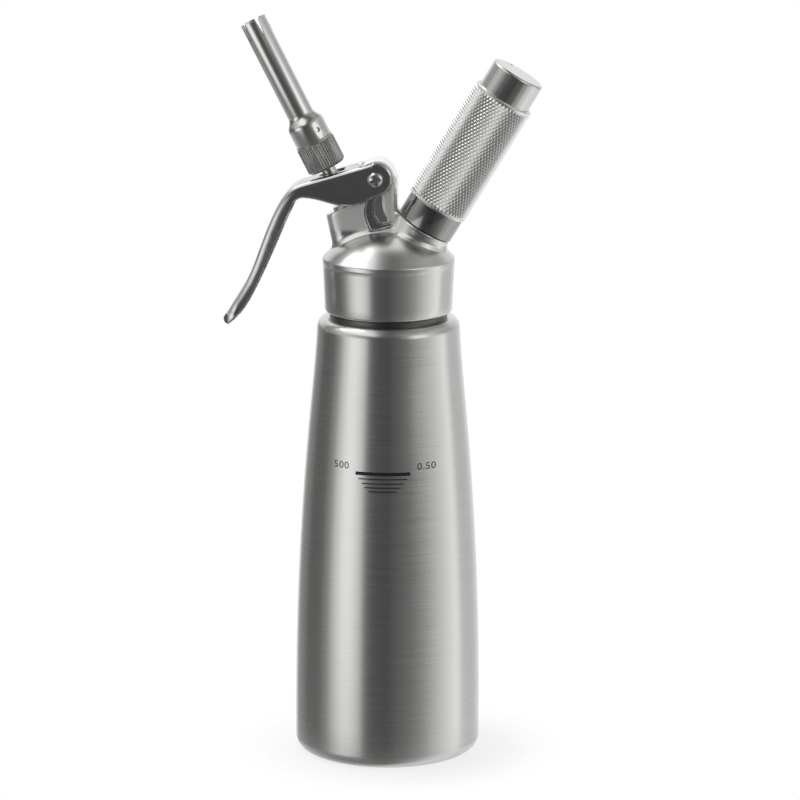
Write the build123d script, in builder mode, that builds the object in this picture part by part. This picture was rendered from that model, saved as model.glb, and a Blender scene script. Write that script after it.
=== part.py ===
from build123d import *
from math import cos, radians, sin, sqrt, tan
import os

# Half-litre whipped cream dispenser: bottle, screw-on head with lever valve, nozzle, charger holder.
# The origin is the centre of the base, on the surface that it stands on. +Z runs up the bottle's
# axis, the lever and nozzle lean towards -X, the charger holder leans towards +X and the front is -Y.
# A height along a leaning axis is measured from the face of the head that the axis starts at.

# ---------------------------------------------------------------- sizes, in mm
# Bottle; the flank points are insets from the base's radius and depths below the shoulder
base_radius = 38.3
flank_start = 16.0
flank_points = ((2.2, 89.0), (6.0, 39.0))
shoulder_radius = 29.3
shoulder_height = 184.0
shell_wall = 0.9
floor_thickness = 1.2
base_edge_radius = 5.5
shoulder_edge_radius = 4.5

# Threaded neck, welded into the shoulder
neck_root_radius = 22.6
neck_wall = 2.2
neck_height = 15.2
neck_band_step = 1.6
neck_band_height = 1.9
neck_weld_depth = 2.0
neck_rim_edge = 0.5
neck_thread_start = 4.2
gasket_thickness = 2.4
gasket_inner_step = 0.2
gasket_side_gap = 0.7

# Head
collar_gap = 2.3
collar_height = 23.0
collar_wall = 2.3
collar_flare = 1.0
collar_bottom_edge = 1.2
collar_top_edge = 0.9
dome_rise = 12.0
dome_wall = 10.4

# Tower on the head; its points are offsets from the lever's pivot
pivot_offset = -4.8
pivot_rise = 32.9
tower_half_thickness = 6.6
tower_nose_radius = 6.3
tower_back_radius = 3.0
tower_root = 3.0
lug_radius = 7.5
lug_foot = 0.6
nose_lean = 12.0
nose_reach = 9.35
spout_face_reach = 7.6
spine_back = 8.6
spine_front = 3.2
web_half_thickness = 4.0
pocket_top = -7.0
pocket_barrel_points = ((-4.2, -7.0), (-5.2, -14.4), (-2.8, -21.2))
pocket_toe = (7.6, -19.2)
pocket_heel = -12.4
pocket_corner = 1.9
pocket_fillet = 1.2

# Valve, along an axis that leans towards the lever
spout_lean = 27.0
spout_offset = -17.45
spout_rise = 21.1
stem_radius = 3.0
stem_shank_radius = 2.2
stem_spigot_radius = 1.6
stem_bore_radius = 1.45
bush_radius = 4.8
bush_flange_step = 1.0
bush_flange_height = 1.2
bush_length = 7.0
seal_ring_drop = 3.2
seal_ring_wire = 0.88
seal_groove_width = 2.0
seat_depth = 17.9
seat_length = 4.7
seat_inner_radius = 3.4
seat_bevel = 1.2
seat_land = 0.6
port_rise = 1.3
port_radius = 1.1
shank_rise = 2.1
plug_length = 3.3
plug_room = 6.0
end_screw_head_radius = 3.4
end_screw_head_height = 1.6
end_screw_radius = 0.9
end_screw_grip = 2.1
press_flange_radius = 5.4
press_flange_top = 12.1
press_flange_height = 1.6
spring_radius = 4.2
spring_wire = 0.5
spring_turns = 4.5

# Nozzle
nozzle_bottom = 17.1
skirt_radius = 7.0
grip_ring_wall = 1.1
grip_ring_length = 12.2
grip_groove_count = 48
grip_groove_depth = 0.4
grip_edge = 1.0
grip_top_band = 0.9
bell_step = 0.7
bell_length = 6.9
flare_length = 5.6
tube_length = 42.7
tube_bore_radius = 4.6
tube_wall = 0.8
finger_count = 5
slot_depth = 7.0
slot_mouth_width = 2.4
slot_foot_width = 0.9
slot_turn = 13.0
stem_head_recess = 0.5
stem_head_length = 8.5
stem_head_root_radius = 4.2
nozzle_thread_start = 1.3
washer_thickness = 1.0
dimple_radius = 1.0
dimple_depth = 1.2
dimple_rise = 4.1
dimple_turn = 36.0

# Lever; the arm's points are offsets from its bend, the cheek's from the pivot
lever_wall = 1.6
lever_inset = 1.3
lever_tip_half_width = 6.4
cheek_radius = 6.8
cheek_low_angle = -76.0
lever_rise = 17.0
lever_head_length = 29.7
arm_back_end = (-32.6, -56.8)
arm_front_end = (-30.4, -59.8)
arm_back_points = (
    (-6.8, -4.7), (-10.9, -11.4), (-18.0, -29.0), (-25.0, -44.8), (-29.6, -52.3), arm_back_end,
)
arm_tip_point = (-32.5, -59.2)
arm_front_points = (
    arm_front_end, (-26.0, -55.6), (-19.2, -44.8), (-13.2, -31.6), (-6.4, -15.8), (-3.4, -9.4),
)
crook_points = ((-2.1, -7.0), (0.2, -6.0), (6.7, -6.8))
cheek_edge_points = ((-13.4, -11.3), (-4.2, -9.6))
lever_tip_round = 4.5
lever_tip_bulge = 0.9
lever_tip_solid = 6.0
fork_reach = 4.8
pivot_radius = 2.5
pivot_nut_head_radius = 3.4
pivot_nut_head_height = 1.2
pivot_nut_edge = 0.6
pivot_screw_head_radius = 3.1
pivot_screw_head_height = 1.9
pivot_screw_edge = 1.1
pivot_screw_radius = 1.6
pivot_screw_length = 12.0
recess_width = 0.8
recess_span = 3.6
recess_depth = 1.1
recess_turn = 20.0

# Charger holder, along an axis that leans away from the lever
holder_lean = 30.8
holder_offset = 14.8
holder_rise = 12.5
boss_step = 0.6
boss_depth = 16.0
stud_root_radius = 8.8
holder_thread_start = 1.2
socket_floor = 1.0
socket_gap = 0.9
pin_hole_radius = 3.2
gas_hole_radius = 1.6
gas_hole_reach = 3.0
inlet_gasket_thickness = 2.0
inlet_gasket_hole = 2.0
pin_body_length = 7.0
needle_radius = 1.0
needle_rise = 1.6
needle_taper = 1.4
needle_bore_radius = 0.45
check_valve_length = 3.4
check_valve_rim = 1.2
check_valve_slit = 0.2
holder_seam = 0.3
holder_wall = 1.3
holder_ring_step = 0.9
holder_ring_length = 9.7
thread_relief = 1.3
grip_sleeve_wall = 1.5
grip_sleeve_edge = 0.6
knurl_line_count = 6
knurl_lead = 128.0
knurl_depth = 0.5
knurl_run_out = 4.0
holder_cap_length = 11.6
holder_end_wall = 5.95
holder_top_edge = 1.2
holder_vent_radius = 0.9
holder_vent_place = (-4.2, 7.2)

# Gas charger
charger_radius = 9.0
charger_length = 65.5
charger_wall = 1.3
charger_neck_radius = 4.3
charger_neck_length = 7.0
charger_shoulder_length = 5.0
charger_cap_thickness = 0.6
needle_hole_gap = 0.35

# Threads: pitch, turns, rise, width at the root and width at the crest
neck_thread = {"pitch": 3.0, "turns": 2.5, "rise": 0.9, "root": 1.6, "crest": 0.7}
nozzle_thread = {"pitch": 2.0, "turns": 3.0, "rise": 0.7, "root": 1.0, "crest": 0.4}
holder_thread = {"pitch": 2.5, "turns": 3.0, "rise": 0.8, "root": 1.3, "crest": 0.6}
thread_sink = 0.3

# Clearances
thread_gap = 0.4
running_gap = 0.05
seat_gap = 0.15
face_gap = 0.1
cheek_gap = 0.4
lug_gap = 0.7
fork_gap = 0.7
charger_gap = 0.4
overcut = 1.0

# ---------------------------------------------------------------- shared places
collar_bottom = shoulder_height + collar_gap
collar_top = collar_bottom + collar_height
neck_rim = shoulder_height + neck_height
ceiling = neck_rim + gasket_thickness
head_bore_radius = neck_root_radius + neck_thread["rise"] + thread_gap
collar_bottom_radius = head_bore_radius + collar_wall
collar_top_radius = collar_bottom_radius + collar_flare
dome_foot_radius = collar_top_radius - collar_top_edge
dome_radius = (dome_foot_radius**2 + dome_rise**2) / (2 * dome_rise)
dome_centre = collar_top + dome_rise - dome_radius

pivot_place = (pivot_offset, collar_top + pivot_rise)
spout_face = (spout_offset, collar_top + spout_rise)
holder_face = (holder_offset, collar_top + holder_rise)

seal_ring_radius = stem_radius + running_gap
seal_bore_radius = seal_ring_radius + seal_ring_wire + running_gap
seal_ring_height = -bush_length - seal_ring_drop
seat_top = -seat_depth
seat_bottom = seat_top - seat_length
seat_outer_radius = seat_inner_radius + seat_bevel + seat_land
port_height = seat_top + port_rise
shank_top = port_height + shank_rise
plug_top = seat_bottom + seat_bevel - seat_gap
plug_bottom = plug_top - plug_length
end_screw_foot = plug_bottom - end_screw_head_height
end_screw_top = plug_top + end_screw_grip
spring_foot = bush_flange_height + spring_wire + face_gap
spring_top = press_flange_top - press_flange_height - spring_wire - face_gap

stem_head_bottom = nozzle_bottom + stem_head_recess
stem_head_top = stem_head_bottom + stem_head_length
washer_top = stem_head_top + washer_thickness
nozzle_thread_bore = stem_head_root_radius + nozzle_thread["rise"] + thread_gap
grip_ring_radius = skirt_radius + grip_ring_wall
bell_radius = skirt_radius + bell_step
bell_bottom = nozzle_bottom + grip_ring_length
flare_start = bell_bottom + bell_length
tube_start = flare_start + flare_length
tube_radius = tube_bore_radius + tube_wall
nozzle_top = tube_start + tube_length

lever_half_width = tower_half_thickness + cheek_gap + lever_wall
cheek_face = lever_half_width + face_gap

socket_radius = charger_neck_radius + socket_gap
charger_tip = socket_floor + inlet_gasket_thickness
charger_neck_top = charger_tip + charger_neck_length
stud_length = charger_neck_top - charger_gap
check_valve_top = socket_floor - pin_body_length
pin_hole_floor = check_valve_top - check_valve_length
needle_shoulder = charger_tip + needle_rise
needle_point = needle_shoulder + needle_taper
holder_thread_bore = stud_root_radius + holder_thread["rise"] + thread_gap
holder_tube_radius = holder_thread_bore + holder_wall
boss_radius = holder_tube_radius + boss_step
ring_top = holder_seam + holder_ring_length
relief_top = stud_length + thread_relief
cavity_end = charger_tip + charger_length + seat_gap
holder_length = cavity_end + holder_end_wall


def leaning_place(face, lean, height, across=0.0):
    """The point of the middle plane that lies height up a leaning axis and across it to +X."""
    tilt = radians(lean)
    x = face[0] - height * sin(tilt) + across * cos(tilt)
    z = face[1] + height * cos(tilt) + across * sin(tilt)
    return (x, z)


def cross_plane(face, lean, height=0.0):
    """The plane square to a leaning axis at a height, with its own x towards +X."""
    tilt = radians(lean)
    x, z = leaning_place(face, lean, height)
    return Plane(origin=(x, 0, z), x_dir=(cos(tilt), 0, sin(tilt)), z_dir=(-sin(tilt), 0, cos(tilt)))


def side_plane(face, lean, turn=0.0):
    """A plane through a leaning axis, facing the front, or turned about the axis towards +X.

    Its own y runs up the axis and its x across it.
    """
    tilt = radians(lean)
    across = Vector(cos(tilt), 0, sin(tilt))
    front = Vector(0, -1, 0)
    x_dir = across * cos(radians(turn)) - front * sin(radians(turn))
    z_dir = front * cos(radians(turn)) + across * sin(radians(turn))
    return Plane(origin=(face[0], 0, face[1]), x_dir=x_dir, z_dir=z_dir)


spout = Axis(cross_plane(spout_face, spout_lean).origin, cross_plane(spout_face, spout_lean).z_dir)
spout_side = side_plane(spout_face, spout_lean)
charge = Axis(cross_plane(holder_face, -holder_lean).origin, cross_plane(holder_face, -holder_lean).z_dir)
charge_side = side_plane(holder_face, -holder_lean)


def from_place(place, points):
    """The points, given as offsets from a place in the middle plane."""
    return [(place[0] + across, place[1] + up) for across, up in points]


def section(inner, outer, bottom, top, mode=Mode.ADD):
    """Draw the half section of a plain ring into the open sketch."""
    with Locations((inner, bottom)):
        Rectangle(outer - inner, top - bottom, align=(Align.MIN, Align.MIN), mode=mode)


def profile(*points):
    """Draw a closed straight-sided outline into the open sketch."""
    Polygon(*points, align=None)


def thread_ridge(radius, thread, plane, inward=False):
    """A right-hand screw ridge on a wall of the given radius, starting at the plane."""
    way = -1 if inward else 1
    sink = thread_sink * way
    rise = thread["rise"] * way
    turn = Helix(thread["pitch"], thread["pitch"] * thread["turns"], radius)
    with BuildSketch(Plane(origin=turn @ 0, x_dir=(1, 0, 0), z_dir=turn % 0)) as ridge_section:
        half_root = thread["root"] / 2
        half_crest = thread["crest"] / 2
        profile((-sink, -half_root), (rise, -half_crest), (rise, half_crest), (-sink, half_root))
    with BuildPart() as ridge:
        add(ridge_section.sketch)
        sweep(path=turn, is_frenet=True)
    return plane.location * ridge.part


def vessel(inset, floor):
    """The bottle's body, closed at the top, drawn in from its outer face by inset."""
    top = shoulder_height - inset
    with BuildPart() as body:
        with BuildSketch(Plane.XZ):
            with BuildLine():
                foot = (base_radius - inset, floor)
                start = (base_radius - inset, flank_start)
                end = (shoulder_radius - inset, top)
                flank = [
                    (base_radius - taper - inset, shoulder_height - drop) for taper, drop in flank_points
                ]
                Polyline((0, top), (0, floor), foot, start)
                Spline(start, *flank, end, tangents=((0, 1), (-0.03, 1)))
                Line(end, (0, top))
            make_face()
        revolve()
        rims = body.edges().filter_by(GeomType.CIRCLE).sort_by(Axis.Z)
        fillet(rims[0], base_edge_radius - inset)
        rims = body.edges().filter_by(GeomType.CIRCLE).sort_by(Axis.Z)
        fillet(rims[-1], shoulder_edge_radius - inset)
    return body.part


# ---------------------------------------------------------------- bottle
vessel_outside = vessel(0, 0)
vessel_inside = vessel(shell_wall, floor_thickness)

with BuildPart() as bottle_shell:
    add(vessel_outside)
    add(vessel_inside, mode=Mode.SUBTRACT)
    with BuildSketch(Plane.XY.offset(shoulder_height)):
        Circle(neck_root_radius + neck_band_step)
    extrude(amount=-2 * shell_wall, mode=Mode.SUBTRACT)

neck_ridge = thread_ridge(
    neck_root_radius, neck_thread, Plane.XY.offset(shoulder_height + neck_thread_start)
)

with BuildPart() as bottle_neck:
    with BuildSketch(Plane.XZ):
        mouth_radius = neck_root_radius - neck_wall
        band_radius = neck_root_radius + neck_band_step
        band_top = shoulder_height + neck_band_height
        section(mouth_radius, band_radius, shoulder_height - neck_weld_depth, band_top)
        section(mouth_radius, neck_root_radius, band_top, neck_rim)
    revolve()
    fillet(bottle_neck.edges().filter_by(GeomType.CIRCLE).group_by(Axis.Z)[-1], neck_rim_edge)
    add(neck_ridge)

with BuildPart() as head_gasket:
    with BuildSketch(Plane.XZ):
        section(mouth_radius + gasket_inner_step, head_bore_radius - gasket_side_gap, neck_rim, ceiling)
    revolve()

# ---------------------------------------------------------------- head
# The pocket hollows each side of the tower between the valve barrel and the spine.
pocket_floor = Plane.XZ.offset(web_half_thickness)
with BuildPart() as pocket:
    with BuildSketch(pocket_floor):
        with BuildLine():
            barrel_side = ThreePointArc(*from_place(pivot_place, pocket_barrel_points))
            spine_side = (pocket_toe, (spine_front, pocket_heel), (spine_front, pocket_top))
            Polyline(barrel_side @ 1, *from_place(pivot_place, spine_side), barrel_side @ 0)
        make_face()
        fillet(vertices(), pocket_corner)
    extrude(amount=tower_half_thickness)
    fillet(pocket.faces().sort_by(Axis.Y)[-1].edges(), pocket_fillet)

# The tower is a thick upright plate: rounded nose in front, hinge lug on top, spine at the back.
nose_top = leaning_place(spout_face, spout_lean, 0, -nose_reach)
face_end = leaning_place(spout_face, spout_lean, 0, spout_face_reach)
tower_foot = collar_top - tower_root
lug_base = pivot_place[1] + lug_foot
nose_foot = (nose_top[0] + (nose_top[1] - tower_foot) * tan(radians(nose_lean)), tower_foot)

with BuildPart() as tower:
    with BuildSketch(Plane.XZ):
        profile(
            nose_top,
            nose_foot,
            (pivot_place[0] + spine_back, tower_foot),
            (pivot_place[0] + spine_back, lug_base),
            (pivot_place[0], lug_base),
            face_end,
        )
    extrude(amount=tower_half_thickness, both=True)
    nose_edges = tower.faces().sort_by(Axis.X)[0].edges().filter_by(Axis.Y, reverse=True)
    fillet(nose_edges, tower_nose_radius)
    back_edges = tower.faces().filter_by(Axis.X).sort_by(Axis.X)[-1].edges().filter_by(Axis.Z)
    fillet(back_edges, tower_back_radius)
    with BuildSketch(Plane.XZ):
        with Locations(pivot_place):
            Circle(lug_radius)
    extrude(amount=tower_half_thickness, both=True)
    add(pocket.part, mode=Mode.SUBTRACT)
    add(pocket.part.mirror(Plane.XZ), mode=Mode.SUBTRACT)

head_ridge = thread_ridge(
    head_bore_radius,
    neck_thread,
    Plane.XY.offset(shoulder_height + neck_thread_start + neck_thread["pitch"] / 2),
    inward=True,
)
stud_ridge = thread_ridge(
    stud_root_radius, holder_thread, cross_plane(holder_face, -holder_lean, holder_thread_start)
)

with BuildPart() as head_body:
    with BuildSketch(Plane.XZ):
        with BuildLine():
            Polyline(
                (0, collar_top + dome_rise),
                (0, collar_bottom),
                (collar_bottom_radius, collar_bottom),
                (collar_top_radius, collar_top - collar_top_edge),
                (dome_foot_radius, collar_top),
            )
            RadiusArc((dome_foot_radius, collar_top), (0, collar_top + dome_rise), -dome_radius)
        make_face()
    revolve()
    fillet(head_body.edges().group_by(Axis.Z)[0], collar_bottom_edge)
    add(tower.part)
    with BuildSketch(cross_plane(holder_face, -holder_lean)):
        Circle(boss_radius)
    extrude(amount=-boss_depth)
    with BuildSketch(cross_plane(holder_face, -holder_lean)):
        Circle(stud_root_radius)
    extrude(amount=stud_length)
    add(stud_ridge)
    # Threaded mouth for the bottle's neck, and the rounded hollow above it
    with BuildSketch(Plane.XZ):
        section(0, head_bore_radius, collar_bottom - overcut, ceiling)
    revolve(mode=Mode.SUBTRACT)
    with BuildSketch(Plane.XZ):
        with Locations((0, dome_centre)):
            Circle(dome_radius - dome_wall)
        with Locations((0, ceiling)):
            Rectangle(4 * dome_radius, 4 * dome_radius, align=(Align.CENTER, Align.MAX), mode=Mode.SUBTRACT)
            Rectangle(4 * dome_radius, 4 * dome_radius, align=(Align.MAX, Align.CENTER), mode=Mode.SUBTRACT)
    revolve(mode=Mode.SUBTRACT)
    add(head_ridge)
    # Valve bore
    with BuildSketch(spout_side):
        section(0, bush_radius, -bush_length, overcut)
        section(0, seal_bore_radius, seat_top, 0)
        section(0, seat_outer_radius, seat_bottom - plug_room, seat_top)
    revolve(axis=spout, mode=Mode.SUBTRACT)
    # Charger socket, pin hole and gas passage
    with BuildSketch(charge_side):
        section(0, socket_radius, socket_floor, stud_length + overcut)
        section(0, pin_hole_radius, pin_hole_floor, socket_floor)
        section(0, gas_hole_radius, -boss_depth - gas_hole_reach, pin_hole_floor)
    revolve(axis=charge, mode=Mode.SUBTRACT)
    # Pivot hole through the lug
    with BuildSketch(Plane.XZ):
        with Locations(pivot_place):
            Circle(pivot_radius)
    extrude(amount=2 * tower_half_thickness, both=True, mode=Mode.SUBTRACT)

# ---------------------------------------------------------------- dispensing valve
with BuildPart() as valve_bush:
    with BuildSketch(spout_side):
        section(stem_radius + running_gap, bush_radius, -bush_length, bush_flange_height)
        section(stem_radius + running_gap, bush_radius + bush_flange_step, 0, bush_flange_height)
    revolve(axis=spout)

with BuildPart() as valve_seat:
    with BuildSketch(spout_side):
        profile(
            (seat_inner_radius, seat_top),
            (seat_outer_radius, seat_top),
            (seat_outer_radius, seat_bottom),
            (seat_inner_radius + seat_bevel, seat_bottom),
            (seat_inner_radius, seat_bottom + seat_bevel),
        )
    revolve(axis=spout)

stem_ridge_start = nozzle_bottom + nozzle_thread_start
stem_ridge = thread_ridge(
    stem_head_root_radius, nozzle_thread, cross_plane(spout_face, spout_lean, stem_ridge_start)
)

with BuildPart() as valve_stem:
    with BuildSketch(spout_side):
        section(0, stem_radius, shank_top, stem_head_bottom)
        section(0, stem_shank_radius, plug_top, shank_top)
        section(0, stem_spigot_radius, plug_bottom, plug_top)
        section(0, press_flange_radius, press_flange_top - press_flange_height, press_flange_top)
        section(0, stem_head_root_radius, stem_head_bottom, stem_head_top)
        section(
            seal_ring_radius - seal_ring_wire,
            2 * stem_radius,
            seal_ring_height - seal_groove_width / 2,
            seal_ring_height + seal_groove_width / 2,
            mode=Mode.SUBTRACT,
        )
        section(0, stem_bore_radius, port_height - port_radius, stem_head_top, mode=Mode.SUBTRACT)
        section(0, end_screw_radius, plug_bottom, end_screw_top, mode=Mode.SUBTRACT)
    revolve(axis=spout)
    add(stem_ridge)
    port_middle = cross_plane(spout_face, spout_lean, port_height)
    for port_way in (port_middle.x_dir, port_middle.y_dir):
        with BuildSketch(Plane(origin=port_middle.origin, z_dir=port_way)):
            Circle(port_radius)
        extrude(amount=2 * stem_shank_radius, both=True, mode=Mode.SUBTRACT)

with BuildPart() as stem_seal_ring:
    with BuildSketch(spout_side):
        with Locations((seal_ring_radius, seal_ring_height)):
            Circle(seal_ring_wire)
    revolve(axis=spout)

with BuildPart() as valve_plug:
    with BuildSketch(spout_side):
        profile(
            (stem_spigot_radius, plug_top),
            (seat_inner_radius, plug_top),
            (seat_inner_radius + seat_bevel, plug_top - seat_bevel),
            (seat_inner_radius + seat_bevel, plug_bottom),
            (stem_spigot_radius, plug_bottom),
        )
    revolve(axis=spout)

with BuildPart() as valve_end_screw:
    with BuildSketch(spout_side):
        section(0, end_screw_head_radius, end_screw_foot, plug_bottom)
        section(0, end_screw_radius, plug_bottom, end_screw_top - face_gap)
    revolve(axis=spout)
    with BuildSketch(cross_plane(spout_face, spout_lean, end_screw_foot)):
        Rectangle(2 * end_screw_head_radius, recess_width)
    extrude(amount=recess_width, mode=Mode.SUBTRACT)

# The return spring stands on the bush's flange and pushes the press flange up.
coil_height = spring_top - spring_foot
coil = Helix(coil_height / spring_turns, coil_height, spring_radius)
with BuildSketch(Plane(origin=coil @ 0, x_dir=(1, 0, 0), z_dir=coil % 0)) as wire_section:
    Circle(spring_wire)

with BuildPart() as coil_body:
    add(wire_section.sketch)
    sweep(path=coil, is_frenet=True)

with BuildPart() as valve_spring:
    add(cross_plane(spout_face, spout_lean, spring_foot).location * coil_body.part)

# ---------------------------------------------------------------- nozzle
nozzle_ridge = thread_ridge(
    nozzle_thread_bore,
    nozzle_thread,
    cross_plane(spout_face, spout_lean, stem_ridge_start + nozzle_thread["pitch"] / 2),
    inward=True,
)

with BuildPart() as nozzle_slots:
    for slot in range(finger_count):
        with BuildSketch(side_plane(spout_face, spout_lean, slot_turn + 360 * slot / finger_count)):
            profile(
                (-slot_foot_width / 2, nozzle_top - slot_depth),
                (slot_foot_width / 2, nozzle_top - slot_depth),
                (slot_mouth_width / 2, nozzle_top + overcut),
                (-slot_mouth_width / 2, nozzle_top + overcut),
            )
        extrude(amount=2 * tube_radius)

with BuildPart() as nozzle_tip:
    with BuildSketch(spout_side):
        with BuildLine():
            flare = Spline((bell_radius, flare_start), (tube_radius, tube_start), tangents=((0, 1), (0, 1)))
            Polyline(
                flare @ 1,
                (tube_radius, nozzle_top),
                (0, nozzle_top),
                (0, nozzle_bottom),
                (skirt_radius, nozzle_bottom),
                (skirt_radius, bell_bottom),
                (bell_radius, bell_bottom),
                flare @ 0,
            )
        make_face()
        section(0, nozzle_thread_bore, nozzle_bottom, washer_top, mode=Mode.SUBTRACT)
        section(0, tube_bore_radius, washer_top, nozzle_top, mode=Mode.SUBTRACT)
    revolve(axis=spout)
    add(nozzle_slots.part, mode=Mode.SUBTRACT)
    add(nozzle_ridge)
    dimple_plane = side_plane(spout_face, spout_lean, dimple_turn)
    with BuildSketch(dimple_plane.offset(bell_radius - dimple_depth)):
        with Locations((0, bell_bottom + dimple_rise)):
            Circle(dimple_radius)
    extrude(amount=2 * dimple_depth, mode=Mode.SUBTRACT)

with BuildPart() as nozzle_grip_ring:
    with BuildSketch(spout_side):
        section(skirt_radius, grip_ring_radius, nozzle_bottom, bell_bottom)
        chamfer(vertices().sort_by(Axis.Y)[-2:].sort_by(Axis.X)[-1], grip_edge)
    revolve(axis=spout)
    with BuildSketch(cross_plane(spout_face, spout_lean, nozzle_bottom)):
        with PolarLocations(grip_ring_radius, grip_groove_count):
            Rectangle(grip_groove_depth * sqrt(2), grip_groove_depth * sqrt(2), rotation=45)
    extrude(amount=grip_ring_length - grip_top_band, mode=Mode.SUBTRACT)

with BuildPart() as nozzle_washer:
    with BuildSketch(spout_side):
        section(stem_bore_radius, nozzle_thread_bore - thread_gap, stem_head_top, washer_top)
    revolve(axis=spout)

# ---------------------------------------------------------------- lever
# A pressed channel, open towards the bottle: its web is the top of the head end and the arm's outside.
rise_angle = radians(lever_rise)
cheek_top = (
    pivot_place[0] - cheek_radius * sin(rise_angle),
    pivot_place[1] + cheek_radius * cos(rise_angle),
)
bend_start = (
    cheek_top[0] - lever_head_length * cos(rise_angle),
    cheek_top[1] - lever_head_length * sin(rise_angle),
)
cheek_low = (
    pivot_place[0] + cheek_radius * cos(radians(cheek_low_angle)),
    pivot_place[1] + cheek_radius * sin(radians(cheek_low_angle)),
)
tip_point = (bend_start[0] + arm_tip_point[0], bend_start[1] + arm_tip_point[1])

with BuildSketch(Plane.XZ) as lever_side:
    with BuildLine():
        Line(cheek_top, bend_start)
        arm_back = Spline(
            bend_start,
            *from_place(bend_start, arm_back_points),
            tangents=((-cos(rise_angle), -sin(rise_angle)), (-0.6, -0.8)),
        )
        arm_front = Spline(*from_place(bend_start, arm_front_points), tangents=((0.75, 0.66), (0.42, 0.9)))
        ThreePointArc(arm_back @ 1, tip_point, arm_front @ 0)
        crook_top, crook_end, cheek_start = from_place(bend_start, crook_points)
        ThreePointArc(arm_front @ 1, crook_top, crook_end)
        cheek_edge = Spline(
            crook_end,
            cheek_start,
            *from_place(pivot_place, cheek_edge_points),
            cheek_low,
            tangents=((1, 0), (0.97, 0.24)),
        )
        CenterArc(pivot_place, cheek_radius, cheek_low_angle, 90 + lever_rise - cheek_low_angle)
    make_face()


def lever_plan(inset):
    """A block with the lever's shape seen from above, drawn in from its sides by inset."""
    wide = lever_half_width - inset
    narrow = lever_tip_half_width - inset
    back = pivot_place[0] + 2 * cheek_radius
    round_start = tip_point[0] + lever_tip_round
    with BuildPart() as plan:
        with BuildSketch():
            with BuildLine():
                near_ends = ((bend_start[0], -wide), (round_start, -narrow))
                near = Spline(*near_ends, tangents=((-1, 0), (-1, 0.03)))
                ThreePointArc(near @ 1, (tip_point[0] - lever_tip_bulge, 0), (round_start, narrow))
                far_ends = ((round_start, narrow), (bend_start[0], wide))
                far = Spline(*far_ends, tangents=((1, 0.03), (1, 0)))
                Polyline(far @ 1, (back, wide), (back, -wide), near @ 0)
            make_face()
        extrude(amount=2 * pivot_place[1], dir=(0, 0, 1))
    return plan.part


lever_outer_plan = lever_plan(0)
lever_inner_plan = lever_plan(lever_wall)
lever_face = lever_side.sketch.face()

with BuildPart() as lever_hollow:
    extrude(lever_face.moved(Location((lever_inset, 0, -lever_inset))), amount=lever_half_width, both=True)
    add(lever_inner_plan, mode=Mode.INTERSECT)
    with BuildSketch(Plane.XY):
        Rectangle(4 * base_radius, 4 * base_radius)
    extrude(amount=tip_point[1] + lever_tip_solid, mode=Mode.SUBTRACT)

with BuildPart() as lever:
    extrude(lever_face, amount=lever_half_width, both=True)
    add(lever_outer_plan, mode=Mode.INTERSECT)
    add(lever_hollow.part, mode=Mode.SUBTRACT)
    # Room for the hinge lug between the cheeks
    with BuildSketch(Plane.XZ):
        with Locations(pivot_place):
            Circle(lug_radius + lug_gap)
    extrude(amount=lever_half_width - lever_wall, both=True, mode=Mode.SUBTRACT)
    # Fork that straddles the valve stem, open towards the lug
    with BuildSketch(cross_plane(spout_face, spout_lean, press_flange_top - press_flange_height)):
        fork_half_width = stem_radius + fork_gap
        with Locations((fork_half_width - fork_reach, 0)):
            Circle(fork_half_width)
            Rectangle(3 * fork_reach, 2 * fork_half_width, align=(Align.MIN, Align.CENTER))
    extrude(amount=cheek_radius + press_flange_height, mode=Mode.SUBTRACT)
    # Pivot holes
    with BuildSketch(Plane.XZ):
        with Locations(pivot_place):
            Circle(pivot_radius + running_gap)
    extrude(amount=2 * lever_half_width, both=True, mode=Mode.SUBTRACT)

with BuildPart() as pivot_nut:
    with BuildSketch(Plane.XZ.offset(-cheek_face)):
        with Locations(pivot_place):
            Circle(pivot_nut_head_radius)
    extrude(amount=-pivot_nut_head_height)
    fillet(pivot_nut.edges().sort_by(Axis.Y)[-1], pivot_nut_edge)
    with BuildSketch(Plane.XZ.offset(-cheek_face)):
        with Locations(pivot_place):
            Circle(pivot_radius)
    extrude(amount=2 * cheek_face)
    with BuildSketch(Plane.XZ.offset(cheek_face)):
        with Locations(pivot_place):
            Circle(pivot_screw_radius)
    extrude(amount=-2 * cheek_face + pivot_nut_head_height, mode=Mode.SUBTRACT)

with BuildPart() as pivot_screw:
    with BuildSketch(Plane.XZ.offset(cheek_face)):
        with Locations(pivot_place):
            Circle(pivot_screw_head_radius)
    extrude(amount=pivot_screw_head_height)
    fillet(pivot_screw.edges().sort_by(Axis.Y)[0], pivot_screw_edge)
    with BuildSketch(Plane.XZ.offset(cheek_face + pivot_screw_head_height)):
        with Locations(pivot_place):
            Rectangle(recess_span, recess_width, rotation=recess_turn)
            Rectangle(recess_width, recess_span, rotation=recess_turn)
    extrude(amount=-recess_depth, mode=Mode.SUBTRACT)
    with BuildSketch(Plane.XZ.offset(cheek_face)):
        with Locations(pivot_place):
            Circle(pivot_screw_radius)
    extrude(amount=-pivot_screw_length)

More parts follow.
